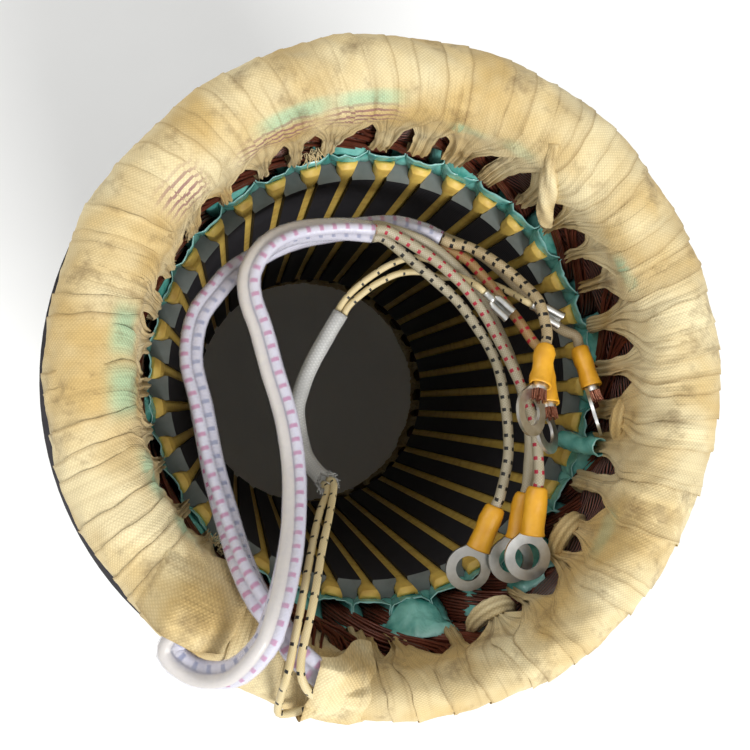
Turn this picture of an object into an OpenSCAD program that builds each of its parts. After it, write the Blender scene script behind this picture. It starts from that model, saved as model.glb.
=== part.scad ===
// Wound stator of a compressor motor, standing on its rear end winding.
// The axis is on Z, the floor is z = 0 and the lead end is up.

/* [Core] */
// Bore diameter
bore_d = 140; // [120:1:170]
// Outside diameter of the core
core_d = 222; // [214:1:270]
// Length of the laminated stack
stack_l = 235; // [150:5:300]

/* [Slots] */
// Number of slots
slot_n = 36; // [30:6:36]
// Angle of the first slot
slot_phase = 8; // [0:0.5:10]
// Width of the slot opening at the bore
slot_open = 4.1; // [3.2:0.1:4.6]
// Width of a tooth between its parallel sides
tooth_w = 6.4; // [5.6:0.1:7]
// Radial thickness of a tooth tip at the opening
tip_t = 1.2; // [0.8:0.1:1.6]
// Radial length of the taper behind the tip
tip_taper = 1.8; // [1.2:0.1:2.4]
// Radial depth of the yoke behind the slots
yoke_t = 18; // [14:0.5:22]

/* [Slot insulation] */
// Thickness of the slot liner film
liner_t = 0.4; // [0.3:0.05:0.6]
// Length of liner that stands out of each core face
liner_out = 8; // [5:0.5:10]
// Radial depth of a slot wedge behind the taper
wedge_t = 1.6; // [1:0.1:2]
// Thickness of the strip that a wedge is folded from
strip_t = 0.6; // [0.4:0.1:0.8]
// Length of wedge that stands out of each core face
wedge_out = 7; // [4:0.5:10]
// Gap between pieces in a slot
slot_fit = 0.3; // [0.2:0.05:0.4]
// Thickness of a phase separator film
separator_t = 0.4; // [0.3:0.05:0.6]
// Number of phase separators at each end
separator_n = 12; // [6:6:12]

/* [End windings] */
// Height of an end winding over its core face
end_h = 62; // [52:1:75]
// Clear height under the taped bundle, where the wires show
bundle_base = 15; // [12:0.5:18]
// Gap from the bore radius to the bundle's inside
bundle_in = 4; // [3:0.5:8]
// Step of the bundle's outside in from the core's outside
bundle_set = 11; // [8:0.5:20]
// Depth of the hollow at the lead side of the front bundle
lead_recess = 9.5; // [0:0.5:10]
// Number of tape laps round a bundle
lap_n = 36; // [18:2:48]
// Height of every second lap over its neighbours
lap_step = 0.6; // [0.4:0.1:0.8]
// Height of the bare coil sides over each core face
coil_out = 17; // [15:0.5:19]

/* [Leads] */
// Diameter of a lead sleeve
sleeve_d = 7.6; // [7:0.1:8]
// Diameter of a motor lead
lead_d = 3.5; // [3:0.1:3.6]
// Diameter of a thermistor lead
sensor_d = 2.2; // [1.6:0.1:2.3]
// Diameter of the thermistor sleeve
sensor_sleeve_d = 5.4; // [5:0.1:6]

/* [Terminals] */
// Outside diameter of a ring terminal
ring_d = 15; // [14:0.1:15.4]
// Stud hole of a ring terminal
ring_hole_d = 8.4; // [6.4:0.1:10.5]
// Thickness of a ring terminal's tongue
ring_t = 1; // [0.8:0.1:1.2]
// Diameter of a crimp barrel
barrel_d = 4.6; // [4:0.1:4.8]
// Diameter of a terminal insulator
boot_d = 7.8; // [7:0.1:8]
// Length of a terminal insulator
boot_l = 14; // [12:0.5:15]
// Width of a spade terminal
spade_w = 5.6; // [5:0.1:6.4]
// Length of a spade terminal's receptacle
spade_l = 8; // [7:0.5:9]
// Height of a spade terminal over its rolled sides
spade_h = 2.4; // [2.2:0.1:2.6]
// Thickness of a spade terminal's plate
spade_t = 0.4; // [0.3:0.05:0.5]
// Gap between a spade terminal's rolled sides
spade_gap = 1.6; // [1:0.1:2]

/* [Hidden] */
$fn = 96;
bore_r = bore_d / 2;
core_r = core_d / 2;
rear_z = end_h;
face_z = end_h + stack_l;
top_z = face_z + end_h;
half_pitch = 180 / slot_n;

// Radial stations along a slot's centre line
tip_r = bore_r + tip_t;
neck_r = tip_r + tip_taper;
wedge_r = neck_r + wedge_t;
liner_r = wedge_r + slot_fit;
coil_r = liner_r + liner_t + slot_fit;
slot_r = core_r - yoke_t;
liner_inset = slot_fit;
coil_inset = 2 * slot_fit + liner_t;

// The slot's round bottom meets both of its sides and stands just past them,
// and a slot too shallow for it has a flat bottom between two smaller rounds
full_round = (slot_r * sin(half_pitch) - tooth_w / 2) / (1 + sin(half_pitch));
bottom_round = min(full_round, (slot_r - coil_r) / 2);
bottom_x = slot_r - bottom_round;
bottom_y = max(0, slot_y(bottom_x, 0) - bottom_round / cos(half_pitch));
bottom_sides = bottom_y > 0.01 ? [-1, 1] : [0];
bottom_ease = 0.05;

// Taped bundles
ring_in = bore_r + bundle_in;
ring_out = core_r - bundle_set;
crest_cut = 0.2;
ring_fit = 0.3;
recess_at = -80;
hollow_r = 64;

// Routes are set for a 140 mm bore and a 62 mm end winding, and follow both
route_bore = 140;
route_end = 62;
tube_sides = 10;
thin_sides = 8;
mouth_gap = 0.3;
boot_gap = 0.3;
boot_front = 8.5;
barrel_l = 7;
barrel_rise = (barrel_d - ring_t) / 2;

// Points are x, y and height over the front core face
SLEEVE_A = [
    [-60, -65, 66.5], [-64, -72, 65], [-57, -78, 66], [-48, -77, 71], [-41, -69.5, 75],
    [-38, -63, 74], [-35, -54, 67], [-32.5, -43, 57], [-31.5, -29, 46], [-33, -14, 39],
    [-37, 1, 34], [-40, 13, 31], [-43, 22.5, 29], [-43.5, 30, 27.5], [-40.5, 37, 26.5],
    [-35.5, 42, 25], [-27.5, 45.5, 23.5], [-15, 47.5, 21.5], [-4, 47.5, 20]
];
SLEEVE_B = [
    [-24, -80.5, 66], [-31, -74, 66], [-35, -68, 64.5], [-41, -60.5, 62], [-45, -54, 55],
    [-48.5, -46, 45], [-54, -29, 36], [-58.5, -9, 30], [-61.5, 4, 26], [-60, 17, 22],
    [-54.5, 26, 19], [-46, 35, 15.5], [-26, 46, 11.5], [2, 51.5, 10], [14, 50, 10.5], [21, 47, 11.5]
];
LEAD_A1 = [
    [8, 40, 17.5], [16, 33.5, 17.5], [23, 27.5, 18], [29, 20.5, 18.5],
    [37, 7, 20], [40.5, -7, 21], [41, -25, 23]
];
LEAD_A2 = [
    [9.5, 43, 21], [18, 37.5, 21], [26, 30.5, 21], [32, 23, 21.5],
    [37, 14, 22.5], [44, -3, 27], [47, -17, 31.5]
];
LEAD_A3 = [
    [13, 45.5, 17.5], [22, 40.5, 15], [32, 31.5, 13], [41, 16, 14],
    [46.5, -1, 18], [48.5, -18, 22.5]
];
LEAD_B1 = [[30, 40, 13.5], [36, 33, 16], [41, 25.5, 18.5], [45.5, 18.5, 21.5], [49.5, 11, 25]];
LEAD_B2 = [
    [29, 44.5, 15.5], [34.5, 41, 19], [40, 36, 23], [45, 30, 27.5],
    [48.5, 24, 32], [49.5, 17, 34.5]
];
LEAD_B3 = [[31, 45, 11], [39, 39.5, 12.5], [49, 28.5, 17], [58.5, 17, 22.5]];
SENSOR_TAIL_1 = [
    [-24, -88, 64], [-31, -90.5, 62], [-36, -91, 60.5], [-35.5, -84, 66.5], [-34, -76, 72],
    [-30.5, -61, 67.5], [-28, -53, 59], [-26, -47.5, 51.5], [-23, -40.5, 41]
];
SENSOR_TAIL_2 = [
    [-20, -87, 64], [-26, -85.5, 67], [-30, -80.5, 72], [-31, -74, 72.5],
    [-27.5, -61, 67.5], [-25, -53, 59], [-23, -47.5, 51.5], [-20, -40.5, 41]
];
SENSOR_SLEEVE = [
    [-20, -33, 27], [-23, -29.5, 19], [-25.5, -25, 13.5], [-27, -17.5, 10], [-27.5, -11, 8.5],
    [-26, -4.5, 8], [-23.5, 2.5, 8], [-19, 11, 8.5], [-13, 21.5, 9.5]
];
SENSOR_LEAD_1 = [
    [-9.5, 28.5, 11], [-3.5, 33.5, 12], [3.5, 38, 12], [10.5, 40.5, 12],
    [17, 40, 12], [22, 36.5, 13.5], [28.5, 32, 20]
];
SENSOR_LEAD_2 = [
    [-7, 27, 11], [-1, 31.5, 12], [6.5, 35, 12], [14, 36, 10.5],
    [22, 34.5, 9.5], [30, 35, 9], [38, 33, 11.5], [44, 28, 20]
];

// Terminals: place of the hole's centre, then turn, tilt and roll
RINGS = [
    [[28, -63, 20], -112, -5, 0],
    [[44, -57.5, 32], -97, -1, 0],
    [[41.5, -60, 23.5], -101, -1, 0],
    [[49.5, -17.5, 35], -91, 18, -44],
    [[41.5, -11.5, 43], -106, 18, -34],
    [[67, -12, 32], -79, 16, -66]
];
SPADES = [[[41, 20, 25.5], -42, 4, 0], [[57, 18, 29.5], -28, 2, 0]];

// Half the slot's width at x on its centre line, with its sides set in
function slot_y(x, inset) = x * tan(half_pitch) - (tooth_w / 2 + inset) / cos(half_pitch);

// A route point in the part's frame
function at(p) = [
    p[0] * bore_d / route_bore,
    p[1] * bore_d / route_bore,
    face_z + p[2] * end_h / route_end
];
function placed(route) = [for (p = route) at(p)];
function unit(v) = v / norm(v);

// Direction of a terminal, from its wire to its tip
function aim(t) = [cos(t[2]) * cos(t[1]), cos(t[2]) * sin(t[1]), sin(t[2])];
function normal(t) =
    let (x = -cos(t[3]) * sin(t[2]), y = -sin(t[3]))
    [x * cos(t[1]) - y * sin(t[1]), x * sin(t[1]) + y * cos(t[1]), cos(t[3]) * cos(t[2])];
function behind(t, d, rise) = at(t[0]) - d * aim(t) + rise * normal(t);

// Catmull-Rom curve through the points, with a ring every pitch or less
function curve(a, b, c, d, t) =
    0.5 * (2 * b + (c - a) * t + (2 * a - 5 * b + 4 * c - d) * t ^ 2 + (3 * b - a - 3 * c + d) * t ^ 3);
function smooth(p, pitch) =
    let (last = len(p) - 1)
    concat([for (i = [0 : last - 1])
        let (
            a = i > 0 ? p[i - 1] : 2 * p[0] - p[1],
            d = i < last - 1 ? p[i + 2] : 2 * p[last] - p[last - 1],
            n = max(1, ceil(norm(p[i + 1] - p[i]) / pitch))
        )
        for (k = [0 : n - 1]) curve(a, p[i], p[i + 1], d, k / n)], [p[last]]);

// Point at the open end of a sleeve: along it, to its left and up
function mouth(route, along, left, up) =
    let (
        p = placed(route),
        last = len(p) - 1,
        t = unit(p[last] - p[last - 1]),
        side = unit(cross([0, 0, 1], t))
    )
    p[last] + t * along + side * left + cross(t, side) * up;

// Point at the first end of a sleeve: ahead of it, to its left and up
function root(route, ahead, left, up) =
    let (
        p = placed(route),
        t = unit(p[1] - p[0]),
        side = unit(cross([0, 0, 1], t))
    )
    p[0] - t * ahead + side * left + cross(t, side) * up;

// A lead's whole path: out of the sleeve, along its route, into the terminal
function lead_path(sleeve, left, up, route, terminal) = concat(
    [mouth(sleeve, mouth_gap, left, up), mouth(sleeve, mouth_gap + 4, left, up)],
    placed(route),
    [for (d = [boot_l + 4, boot_l, barrel_l]) behind(terminal, boot_front + d, barrel_rise)]
);

// One closed tube swept along the path
module tube(path, d, sides) {
    p = smooth(path, 1.3 * d);
    last = len(p) - 1;
    rings = [for (i = [0 : last])
        let (
            t = unit(p[min(i + 1, last)] - p[max(i - 1, 0)]),
            u = unit(cross(t, [0, 0, 1])),
            v = cross(u, t)
        )
        for (k = [0 : sides - 1]) p[i] + d / 2 * (cos(360 * k / sides) * u + sin(360 * k / sides) * v)];
    walls = [for (i = [0 : last - 1]) for (k = [0 : sides - 1])
        let (a = i * sides + k, b = i * sides + (k + 1) % sides)
        each [[a, b, b + sides], [a, b + sides, a + sides]]];
    first_cap = [for (k = [sides - 1 : -1 : 0]) k];
    last_cap = [for (k = [0 : sides - 1]) last * sides + k];
    polyhedron(points = rings, faces = concat(walls, [first_cap, last_cap]));
}

// Where a slot's straight side ends, with its walls set in
function side_end(inset) = [
    bottom_x - (bottom_round - inset) * sin(half_pitch),
    bottom_y + (bottom_round - inset) * cos(half_pitch)
];

// Round bottom of a slot, with its walls set in
module slot_bottom_2d(inset) {
    r = bottom_round - inset;
    for (side = bottom_sides)
        translate([bottom_x, side * bottom_y]) circle(r = r + bottom_ease);
    if (len(bottom_sides) > 1)
        translate([bottom_x - r, -bottom_y]) square([2 * r, 2 * bottom_y]);
}

// Slot outline from radius x outwards, with its walls set in
module slot_2d(x, inset) {
    t = side_end(inset);
    polygon([[x, slot_y(x, inset)], t, [t[0], -t[1]], [x, -slot_y(x, inset)]]);
    slot_bottom_2d(inset);
}

// The whole slot as cut in the core, from its opening to its round bottom
module slot_cut_2d() {
    half = [
        [bore_r - 2, slot_open / 2], [tip_r, slot_open / 2], [neck_r, slot_y(neck_r, 0)], side_end(0)
    ];
    polygon(concat(half, [for (i = [3 : -1 : 0]) [half[i][0], -half[i][1]]]));
    slot_bottom_2d(0);
}

// Folded wedge strip: a channel that closes the slot's mouth, open towards the coil
module wedge_2d() {
    outside = [
        [tip_r + slot_fit, slot_open / 2],
        [neck_r + slot_fit, slot_y(neck_r, slot_fit / 2)],
        [wedge_r, slot_y(wedge_r, slot_fit / 2)]
    ];
    inside = [
        [wedge_r, outside[2][1] - strip_t],
        [neck_r + slot_fit, outside[1][1] - strip_t],
        [tip_r + slot_fit + strip_t, (slot_open - strip_t) / 2]
    ];
    half = concat(outside, inside);
    polygon(concat(half, [for (i = [5 : -1 : 0]) [half[i][0], -half[i][1]]]));
}

module each_slot() {
    for (i = [0 : slot_n - 1])
        rotate([0, 0, slot_phase + i * 2 * half_pitch]) children();
}

// Section of a taped bundle over a core face at height 0, grown all round:
// as round as the smaller of its width and its height lets it be
module bundle_2d(grown) {
    wide = ring_out - ring_in;
    tall = end_h - lap_step - bundle_base;
    r = min(wide, tall) / 2;
    sides = wide > tall ? [ring_in + r, ring_out - r] : [ring_in + r];
    levels = tall > wide ? [bundle_base + r, end_h - lap_step - r] : [bundle_base + r];
    for (x = sides)
        for (y = levels)
            translate([x, y]) circle(r = r + grown);
    if (tall > wide)
        translate([ring_in - grown, levels[0]]) square([wide + 2 * grown, levels[1] - levels[0]]);
    if (wide > tall)
        translate([sides[0], bundle_base - grown]) square([sides[1] - sides[0], tall + 2 * grown]);
}

// Taped bundle with every second lap of its tape standing proud, pressed flat at the crest
module bundle() {
    span = 360 / lap_n;
    rotate_extrude() bundle_2d(0);
    for (i = [0 : 2 : lap_n - 1])
        rotate([0, 0, (i + 0.5) * span])
            rotate_extrude(angle = span)
                intersection() {
                    bundle_2d(lap_step + crest_cut);
                    square([core_r, end_h]);
                }
}

// Hollow at the lead side of the front bundle, deepest at its own angle
module lead_hollow() {
    rotate([0, 0, recess_at])
        translate([ring_in + lead_recess - hollow_r, 0, -1])
            cylinder(r = hollow_r, h = end_h + 2);
}

// Space that a bundle takes, with a gap round it
module bundle_space() {
    rotate_extrude() bundle_2d(lap_step + crest_cut + ring_fit);
}

module front_place() {
    translate([0, 0, face_z]) children();
}

module rear_place() {
    translate([0, 0, rear_z]) mirror([0, 0, 1]) children();
}

// Phase separators, each on the middle of a tooth
module separators() {
    for (i = [0 : separator_n - 1])
        rotate([0, 0, slot_phase + half_pitch * (1 + 2 * floor(i * slot_n / separator_n))])
            translate([coil_r - 1, -separator_t / 2, 0])
                cube([slot_r + 2 - coil_r, separator_t, bundle_base - lap_step - crest_cut - ring_fit]);
}

module terminal_place(t) {
    translate(at(t[0])) rotate([t[3], -t[2], t[1]]) children();
}

module stator_core() {
    color([0.34, 0.36, 0.36])
        translate([0, 0, rear_z])
            linear_extrude(stack_l)
                difference() {
                    circle(r = core_r);
                    circle(r = bore_r);
                    each_slot() slot_cut_2d();
                }
}

module slot_liners() {
    color([0.3, 0.6, 0.6])
        each_slot()
            translate([0, 0, rear_z - liner_out])
                linear_extrude(stack_l + 2 * liner_out)
                    difference() {
                        slot_2d(liner_r, liner_inset);
                        slot_2d(liner_r + liner_t, liner_inset + liner_t);
                    }
}

module slot_wedges() {
    color([0.85, 0.7, 0.3])
        each_slot()
            translate([0, 0, rear_z - wedge_out])
                linear_extrude(stack_l + 2 * wedge_out)
                    wedge_2d();
}

module coil_sides() {
    color([0.36, 0.15, 0.1])
        difference() {
            each_slot()
                translate([0, 0, rear_z - coil_out])
                    linear_extrude(stack_l + 2 * coil_out)
                        slot_2d(coil_r, coil_inset);
            front_place() bundle_space();
            rear_place() bundle_space();
        }
}

module end_winding_front() {
    color([0.86, 0.76, 0.56])
        front_place()
            difference() {
                bundle();
                lead_hollow();
            }
}

module end_winding_rear() {
    color([0.86, 0.76, 0.56]) rear_place() bundle();
}

module phase_separators_front() {
    color([0.25, 0.55, 0.52]) front_place() separators();
}

module phase_separators_rear() {
    color([0.25, 0.55, 0.52]) rear_place() separators();
}

module lead_sleeve(route) {
    color([0.87, 0.87, 0.94]) tube(placed(route), sleeve_d, tube_sides);
}

module lead_a(i, left, up, route) {
    color([0.91, 0.89, 0.85]) tube(lead_path(SLEEVE_A, left, up, route, RINGS[i]), lead_d, thin_sides);
}

module lead_b(i, left, up, route) {
    color([0.72, 0.58, 0.4]) tube(lead_path(SLEEVE_B, left, up, route, RINGS[i]), lead_d, thin_sides);
}

// Flat teardrop tongue with a stud hole, and a barrel standing on its narrow end
module ring_terminal(i) {
    neck = [-boot_front, barrel_d / 2];
    flank = ring_d / 2 * [-cos(60), sin(60)];
    color([0.72, 0.72, 0.7])
        terminal_place(RINGS[i])
            difference() {
                union() {
                    cylinder(d = ring_d, h = ring_t, center = true);
                    translate([0, 0, -ring_t / 2])
                        linear_extrude(ring_t)
                            polygon([neck, flank, [flank[0], -flank[1]], [neck[0], -neck[1]]]);
                    translate([-boot_front - barrel_l, 0, barrel_rise])
                        rotate([0, 90, 0]) cylinder(d = barrel_d, h = barrel_l + 1.5);
                }
                cylinder(d = ring_hole_d, h = 2 * ring_t, center = true);
            }
}

module terminal_boot(i) {
    color([0.91, 0.66, 0.16])
        terminal_place(RINGS[i])
            translate([-boot_front - boot_l, 0, barrel_rise])
                rotate([0, 90, 0])
                    difference() {
                        cylinder(d = boot_d, h = boot_l);
                        translate([0, 0, -1]) cylinder(d = barrel_d + 2 * boot_gap, h = boot_l + 2);
                    }
}

module sensor_tail(route, left) {
    join = [root(SENSOR_SLEEVE, mouth_gap + 4, left, 0), root(SENSOR_SLEEVE, mouth_gap, left, 0)];
    color([0.85, 0.82, 0.72]) tube(concat(placed(route), join), sensor_d, thin_sides);
}

module sensor_sleeve() {
    color([0.82, 0.83, 0.8]) tube(placed(SENSOR_SLEEVE), sensor_sleeve_d, tube_sides);
}

module sensor_lead(route, left, i) {
    start = [mouth(SENSOR_SLEEVE, mouth_gap, left, 0), mouth(SENSOR_SLEEVE, mouth_gap + 3, left, 0)];
    finish = [for (d = [6, 3 + mouth_gap]) behind(SPADES[i], spade_l + d, 0)];
    color([0.85, 0.82, 0.72]) tube(concat(start, placed(route), finish), sensor_d, thin_sides);
}

module round_sided_2d(wide, tall) {
    square([wide - tall, tall], center = true);
    for (side = [-1, 1])
        translate([side * (wide - tall) / 2, 0]) circle(d = tall);
}

// Receptacle's section: a flat plate with its sides rolled over towards each other
module spade_2d() {
    difference() {
        round_sided_2d(spade_w, spade_h);
        round_sided_2d(spade_w - 2 * spade_t, spade_h - 2 * spade_t);
        translate([-spade_gap / 2, 0]) square([spade_gap, spade_h]);
    }
}

module spade_terminal(i) {
    color([0.76, 0.76, 0.74])
        terminal_place(SPADES[i]) {
            translate([-spade_l, 0, 0]) rotate([90, 0, 90]) linear_extrude(spade_l) spade_2d();
            translate([-spade_l - 3, 0, 0]) rotate([0, 90, 0]) cylinder(d = sensor_d + 0.4, h = 4);
        }
}

stator_core();
slot_liners();
slot_wedges();
coil_sides();
end_winding_front();
end_winding_rear();
phase_separators_front();
phase_separators_rear();
lead_sleeve(SLEEVE_A);  // lead_sleeve_a
lead_sleeve(SLEEVE_B);  // lead_sleeve_b
lead_a(0, -1.85, -1.1, LEAD_A1);  // lead_a1
lead_a(1, 0, 2.1, LEAD_A2);  // lead_a2
lead_a(2, 1.85, -1.1, LEAD_A3);  // lead_a3
lead_b(3, -1.85, -1.1, LEAD_B1);  // lead_b1
lead_b(4, 0, 2.1, LEAD_B2);  // lead_b2
lead_b(5, 1.85, -1.1, LEAD_B3);  // lead_b3
ring_terminal(0);  // ring_terminal_a1
ring_terminal(1);  // ring_terminal_a2
ring_terminal(2);  // ring_terminal_a3
ring_terminal(3);  // ring_terminal_b1
ring_terminal(4);  // ring_terminal_b2
ring_terminal(5);  // ring_terminal_b3
terminal_boot(0);  // terminal_boot_a1
terminal_boot(1);  // terminal_boot_a2
terminal_boot(2);  // terminal_boot_a3
terminal_boot(3);  // terminal_boot_b1
terminal_boot(4);  // terminal_boot_b2
terminal_boot(5);  // terminal_boot_b3
sensor_tail(SENSOR_TAIL_1, 1.2);  // sensor_tail_1
sensor_tail(SENSOR_TAIL_2, -1.2);  // sensor_tail_2
sensor_sleeve();
sensor_lead(SENSOR_LEAD_1, 1.2, 0);  // sensor_lead_1
sensor_lead(SENSOR_LEAD_2, -1.2, 1);  // sensor_lead_2
spade_terminal(0);  // spade_terminal_1
spade_terminal(1);  // spade_terminal_2
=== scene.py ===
"""Looks of a wound compressor motor stator: laminated core, taped end windings, leads and terminals."""

import logging
import math
from dataclasses import dataclass, field
from enum import Enum
from typing import Optional, Sequence, Union

import bpy
import numpy as np
from bpy.types import Material, Node, NodeSocket, NodeTree, Object
from mathutils import Euler, Matrix, Vector


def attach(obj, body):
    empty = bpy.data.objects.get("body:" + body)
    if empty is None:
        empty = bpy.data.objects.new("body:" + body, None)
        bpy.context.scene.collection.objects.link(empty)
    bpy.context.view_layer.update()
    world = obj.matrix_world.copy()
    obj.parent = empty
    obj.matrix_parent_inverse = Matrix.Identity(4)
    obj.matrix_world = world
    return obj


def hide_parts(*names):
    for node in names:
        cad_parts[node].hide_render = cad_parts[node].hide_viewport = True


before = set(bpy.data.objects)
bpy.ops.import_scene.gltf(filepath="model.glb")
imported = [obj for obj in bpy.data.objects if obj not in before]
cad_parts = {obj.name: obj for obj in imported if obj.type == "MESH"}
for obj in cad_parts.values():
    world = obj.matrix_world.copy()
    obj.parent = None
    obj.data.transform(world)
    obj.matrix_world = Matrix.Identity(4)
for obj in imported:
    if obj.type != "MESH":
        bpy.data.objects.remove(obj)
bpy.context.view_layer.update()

LOG = logging.getLogger("stator")
MM = 0.001
ROOT = "root"
UP = np.array([0.0, 0.0, 1.0])
Route = Sequence[Sequence[float]]
Places = tuple[tuple[float, float, float], ...]

# Materials made so far, by the name of their finish
MATERIALS: dict[str, Material] = {}


class FarEnd(Enum):
    """What a cord ends in."""

    OBJECT = "object"
    BARE = "bare"
    FITTING = "fitting"
    CONNECTOR = "connector"


class Stiffness(Enum):
    """How a cord holds its shape."""

    LIMP = "limp"
    MEDIUM = "medium"


@dataclass(frozen=True)
class Sizes:
    """Sizes that the construction sets, in millimetres and degrees."""

    rear_z: float = 62.0
    face_z: float = 297.0
    end_h: float = 62.0
    slots: int = 36
    slot_phase: float = 8.0
    half_pitch: float = 5.0
    tooth_w: float = 6.4
    slot_r: float = 93.0
    wedge_in: float = 71.5
    wedge_r: float = 74.6
    wedge_out: float = 7.0
    liner_r: float = 74.9
    liner_out: float = 8.0
    ring_in: float = 74.0
    ring_out: float = 100.0
    bundle_base: float = 15.0
    lead_recess: float = 9.5
    recess_at: float = -80.0
    hollow_r: float = 64.0
    sleeve_d: float = 7.6
    lead_d: float = 3.5
    sensor_d: float = 2.2
    sensor_sleeve_d: float = 5.4
    mouth_gap: float = 0.3
    boot_front: float = 8.5
    boot_l: float = 14.0
    barrel_l: float = 7.0
    barrel_rise: float = 1.8
    spade_l: float = 8.0


SIZE = Sizes()


@dataclass(frozen=True)
class End:
    """One end of the part: its core face, the way out of it, and whether the leads come out there."""

    name: str
    face: float
    up: float
    leads: bool


FRONT = End("front", SIZE.face_z, 1.0, True)
REAR = End("rear", SIZE.rear_z, -1.0, False)

# Cord routes as the construction has them: x, y and height over the front core face
SLEEVE_A = (
    (-60, -65, 66.5), (-64, -72, 65), (-57, -78, 66), (-48, -77, 71), (-41, -69.5, 75),
    (-38, -63, 74), (-35, -54, 67), (-32.5, -43, 57), (-31.5, -29, 46), (-33, -14, 39),
    (-37, 1, 34), (-40, 13, 31), (-43, 22.5, 29), (-43.5, 30, 27.5), (-40.5, 37, 26.5),
    (-35.5, 42, 25), (-27.5, 45.5, 23.5), (-15, 47.5, 21.5), (-4, 47.5, 20),
)
SLEEVE_B = (
    (-24, -80.5, 66), (-31, -74, 66), (-35, -68, 64.5), (-41, -60.5, 62), (-45, -54, 55),
    (-48.5, -46, 45), (-54, -29, 36), (-58.5, -9, 30), (-61.5, 4, 26), (-60, 17, 22),
    (-54.5, 26, 19), (-46, 35, 15.5), (-26, 46, 11.5), (2, 51.5, 10), (14, 50, 10.5), (21, 47, 11.5),
)
LEAD_A1 = (
    (8, 40, 17.5), (16, 33.5, 17.5), (23, 27.5, 18), (29, 20.5, 18.5),
    (37, 7, 20), (40.5, -7, 21), (41, -25, 23),
)
LEAD_A2 = (
    (9.5, 43, 21), (18, 37.5, 21), (26, 30.5, 21), (32, 23, 21.5),
    (37, 14, 22.5), (44, -3, 27), (47, -17, 31.5),
)
LEAD_A3 = (
    (13, 45.5, 17.5), (22, 40.5, 15), (32, 31.5, 13), (41, 16, 14), (46.5, -1, 18), (48.5, -18, 22.5),
)
LEAD_B1 = ((30, 40, 13.5), (36, 33, 16), (41, 25.5, 18.5), (45.5, 18.5, 21.5), (49.5, 11, 25))
LEAD_B2 = (
    (29, 44.5, 15.5), (34.5, 41, 19), (40, 36, 23), (45, 30, 27.5), (48.5, 24, 32), (49.5, 17, 34.5),
)
LEAD_B3 = ((31, 45, 11), (39, 39.5, 12.5), (49, 28.5, 17), (58.5, 17, 22.5))
SENSOR_TAIL_1 = (
    (-24, -88, 64), (-31, -90.5, 62), (-36, -91, 60.5), (-35.5, -84, 66.5), (-34, -76, 72),
    (-30.5, -61, 67.5), (-28, -53, 59), (-26, -47.5, 51.5), (-23, -40.5, 41),
)
SENSOR_TAIL_2 = (
    (-20, -87, 64), (-26, -85.5, 67), (-30, -80.5, 72), (-31, -74, 72.5),
    (-27.5, -61, 67.5), (-25, -53, 59), (-23, -47.5, 51.5), (-20, -40.5, 41),
)
SENSOR_SLEEVE = (
    (-20, -33, 27), (-23, -29.5, 19), (-25.5, -25, 13.5), (-27, -17.5, 10), (-27.5, -11, 8.5),
    (-26, -4.5, 8), (-23.5, 2.5, 8), (-19, 11, 8.5), (-13, 21.5, 9.5),
)
SENSOR_LEAD_1 = (
    (-9.5, 28.5, 11), (-3.5, 33.5, 12), (3.5, 38, 12), (10.5, 40.5, 12),
    (17, 40, 12), (22, 36.5, 13.5), (28.5, 32, 20),
)
SENSOR_LEAD_2 = (
    (-7, 27, 11), (-1, 31.5, 12), (6.5, 35, 12), (14, 36, 10.5),
    (22, 34.5, 9.5), (30, 35, 9), (38, 33, 11.5), (44, 28, 20),
)


def srgb(code: str) -> tuple[float, float, float, float]:
    """Turns an sRGB hex colour into linear light.

    Args:
        code: The colour, such as "#D9C08A".

    Returns:
        Red, green, blue and an alpha of 1.
    """
    parts = [int(code[i:i + 2], 16) / 255 for i in (1, 3, 5)]
    linear = [c / 12.92 if c <= 0.04045 else ((c + 0.055) / 1.055) ** 2.4 for c in parts]
    return (linear[0], linear[1], linear[2], 1.0)


def put(
    tree: NodeTree,
    kind: str,
    inputs: Optional[dict[Union[str, int], object]] = None,
    **settings: object,
) -> Node:
    """Adds a node with its settings, values and links.

    Args:
        tree: The tree that gets the node.
        kind: The node's type name.
        inputs: Values, or sockets to link, by input name or number.
        **settings: Properties of the node itself.

    Returns:
        The new node.
    """
    node = tree.nodes.new(kind)
    for key, value in settings.items():
        setattr(node, key, value)
    for key, value in (inputs or {}).items():
        if isinstance(value, NodeSocket):
            tree.links.new(value, node.inputs[key])
        else:
            node.inputs[key].default_value = value
    return node


def per_mm(size: float) -> float:
    """Noise scale that gives patches of about that size in millimetres."""
    return 1 / (size * MM)


def bands(pitch: float) -> float:
    """Wave scale that gives bands of that pitch in millimetres."""
    return math.pi / 10 / (pitch * MM)


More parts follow.
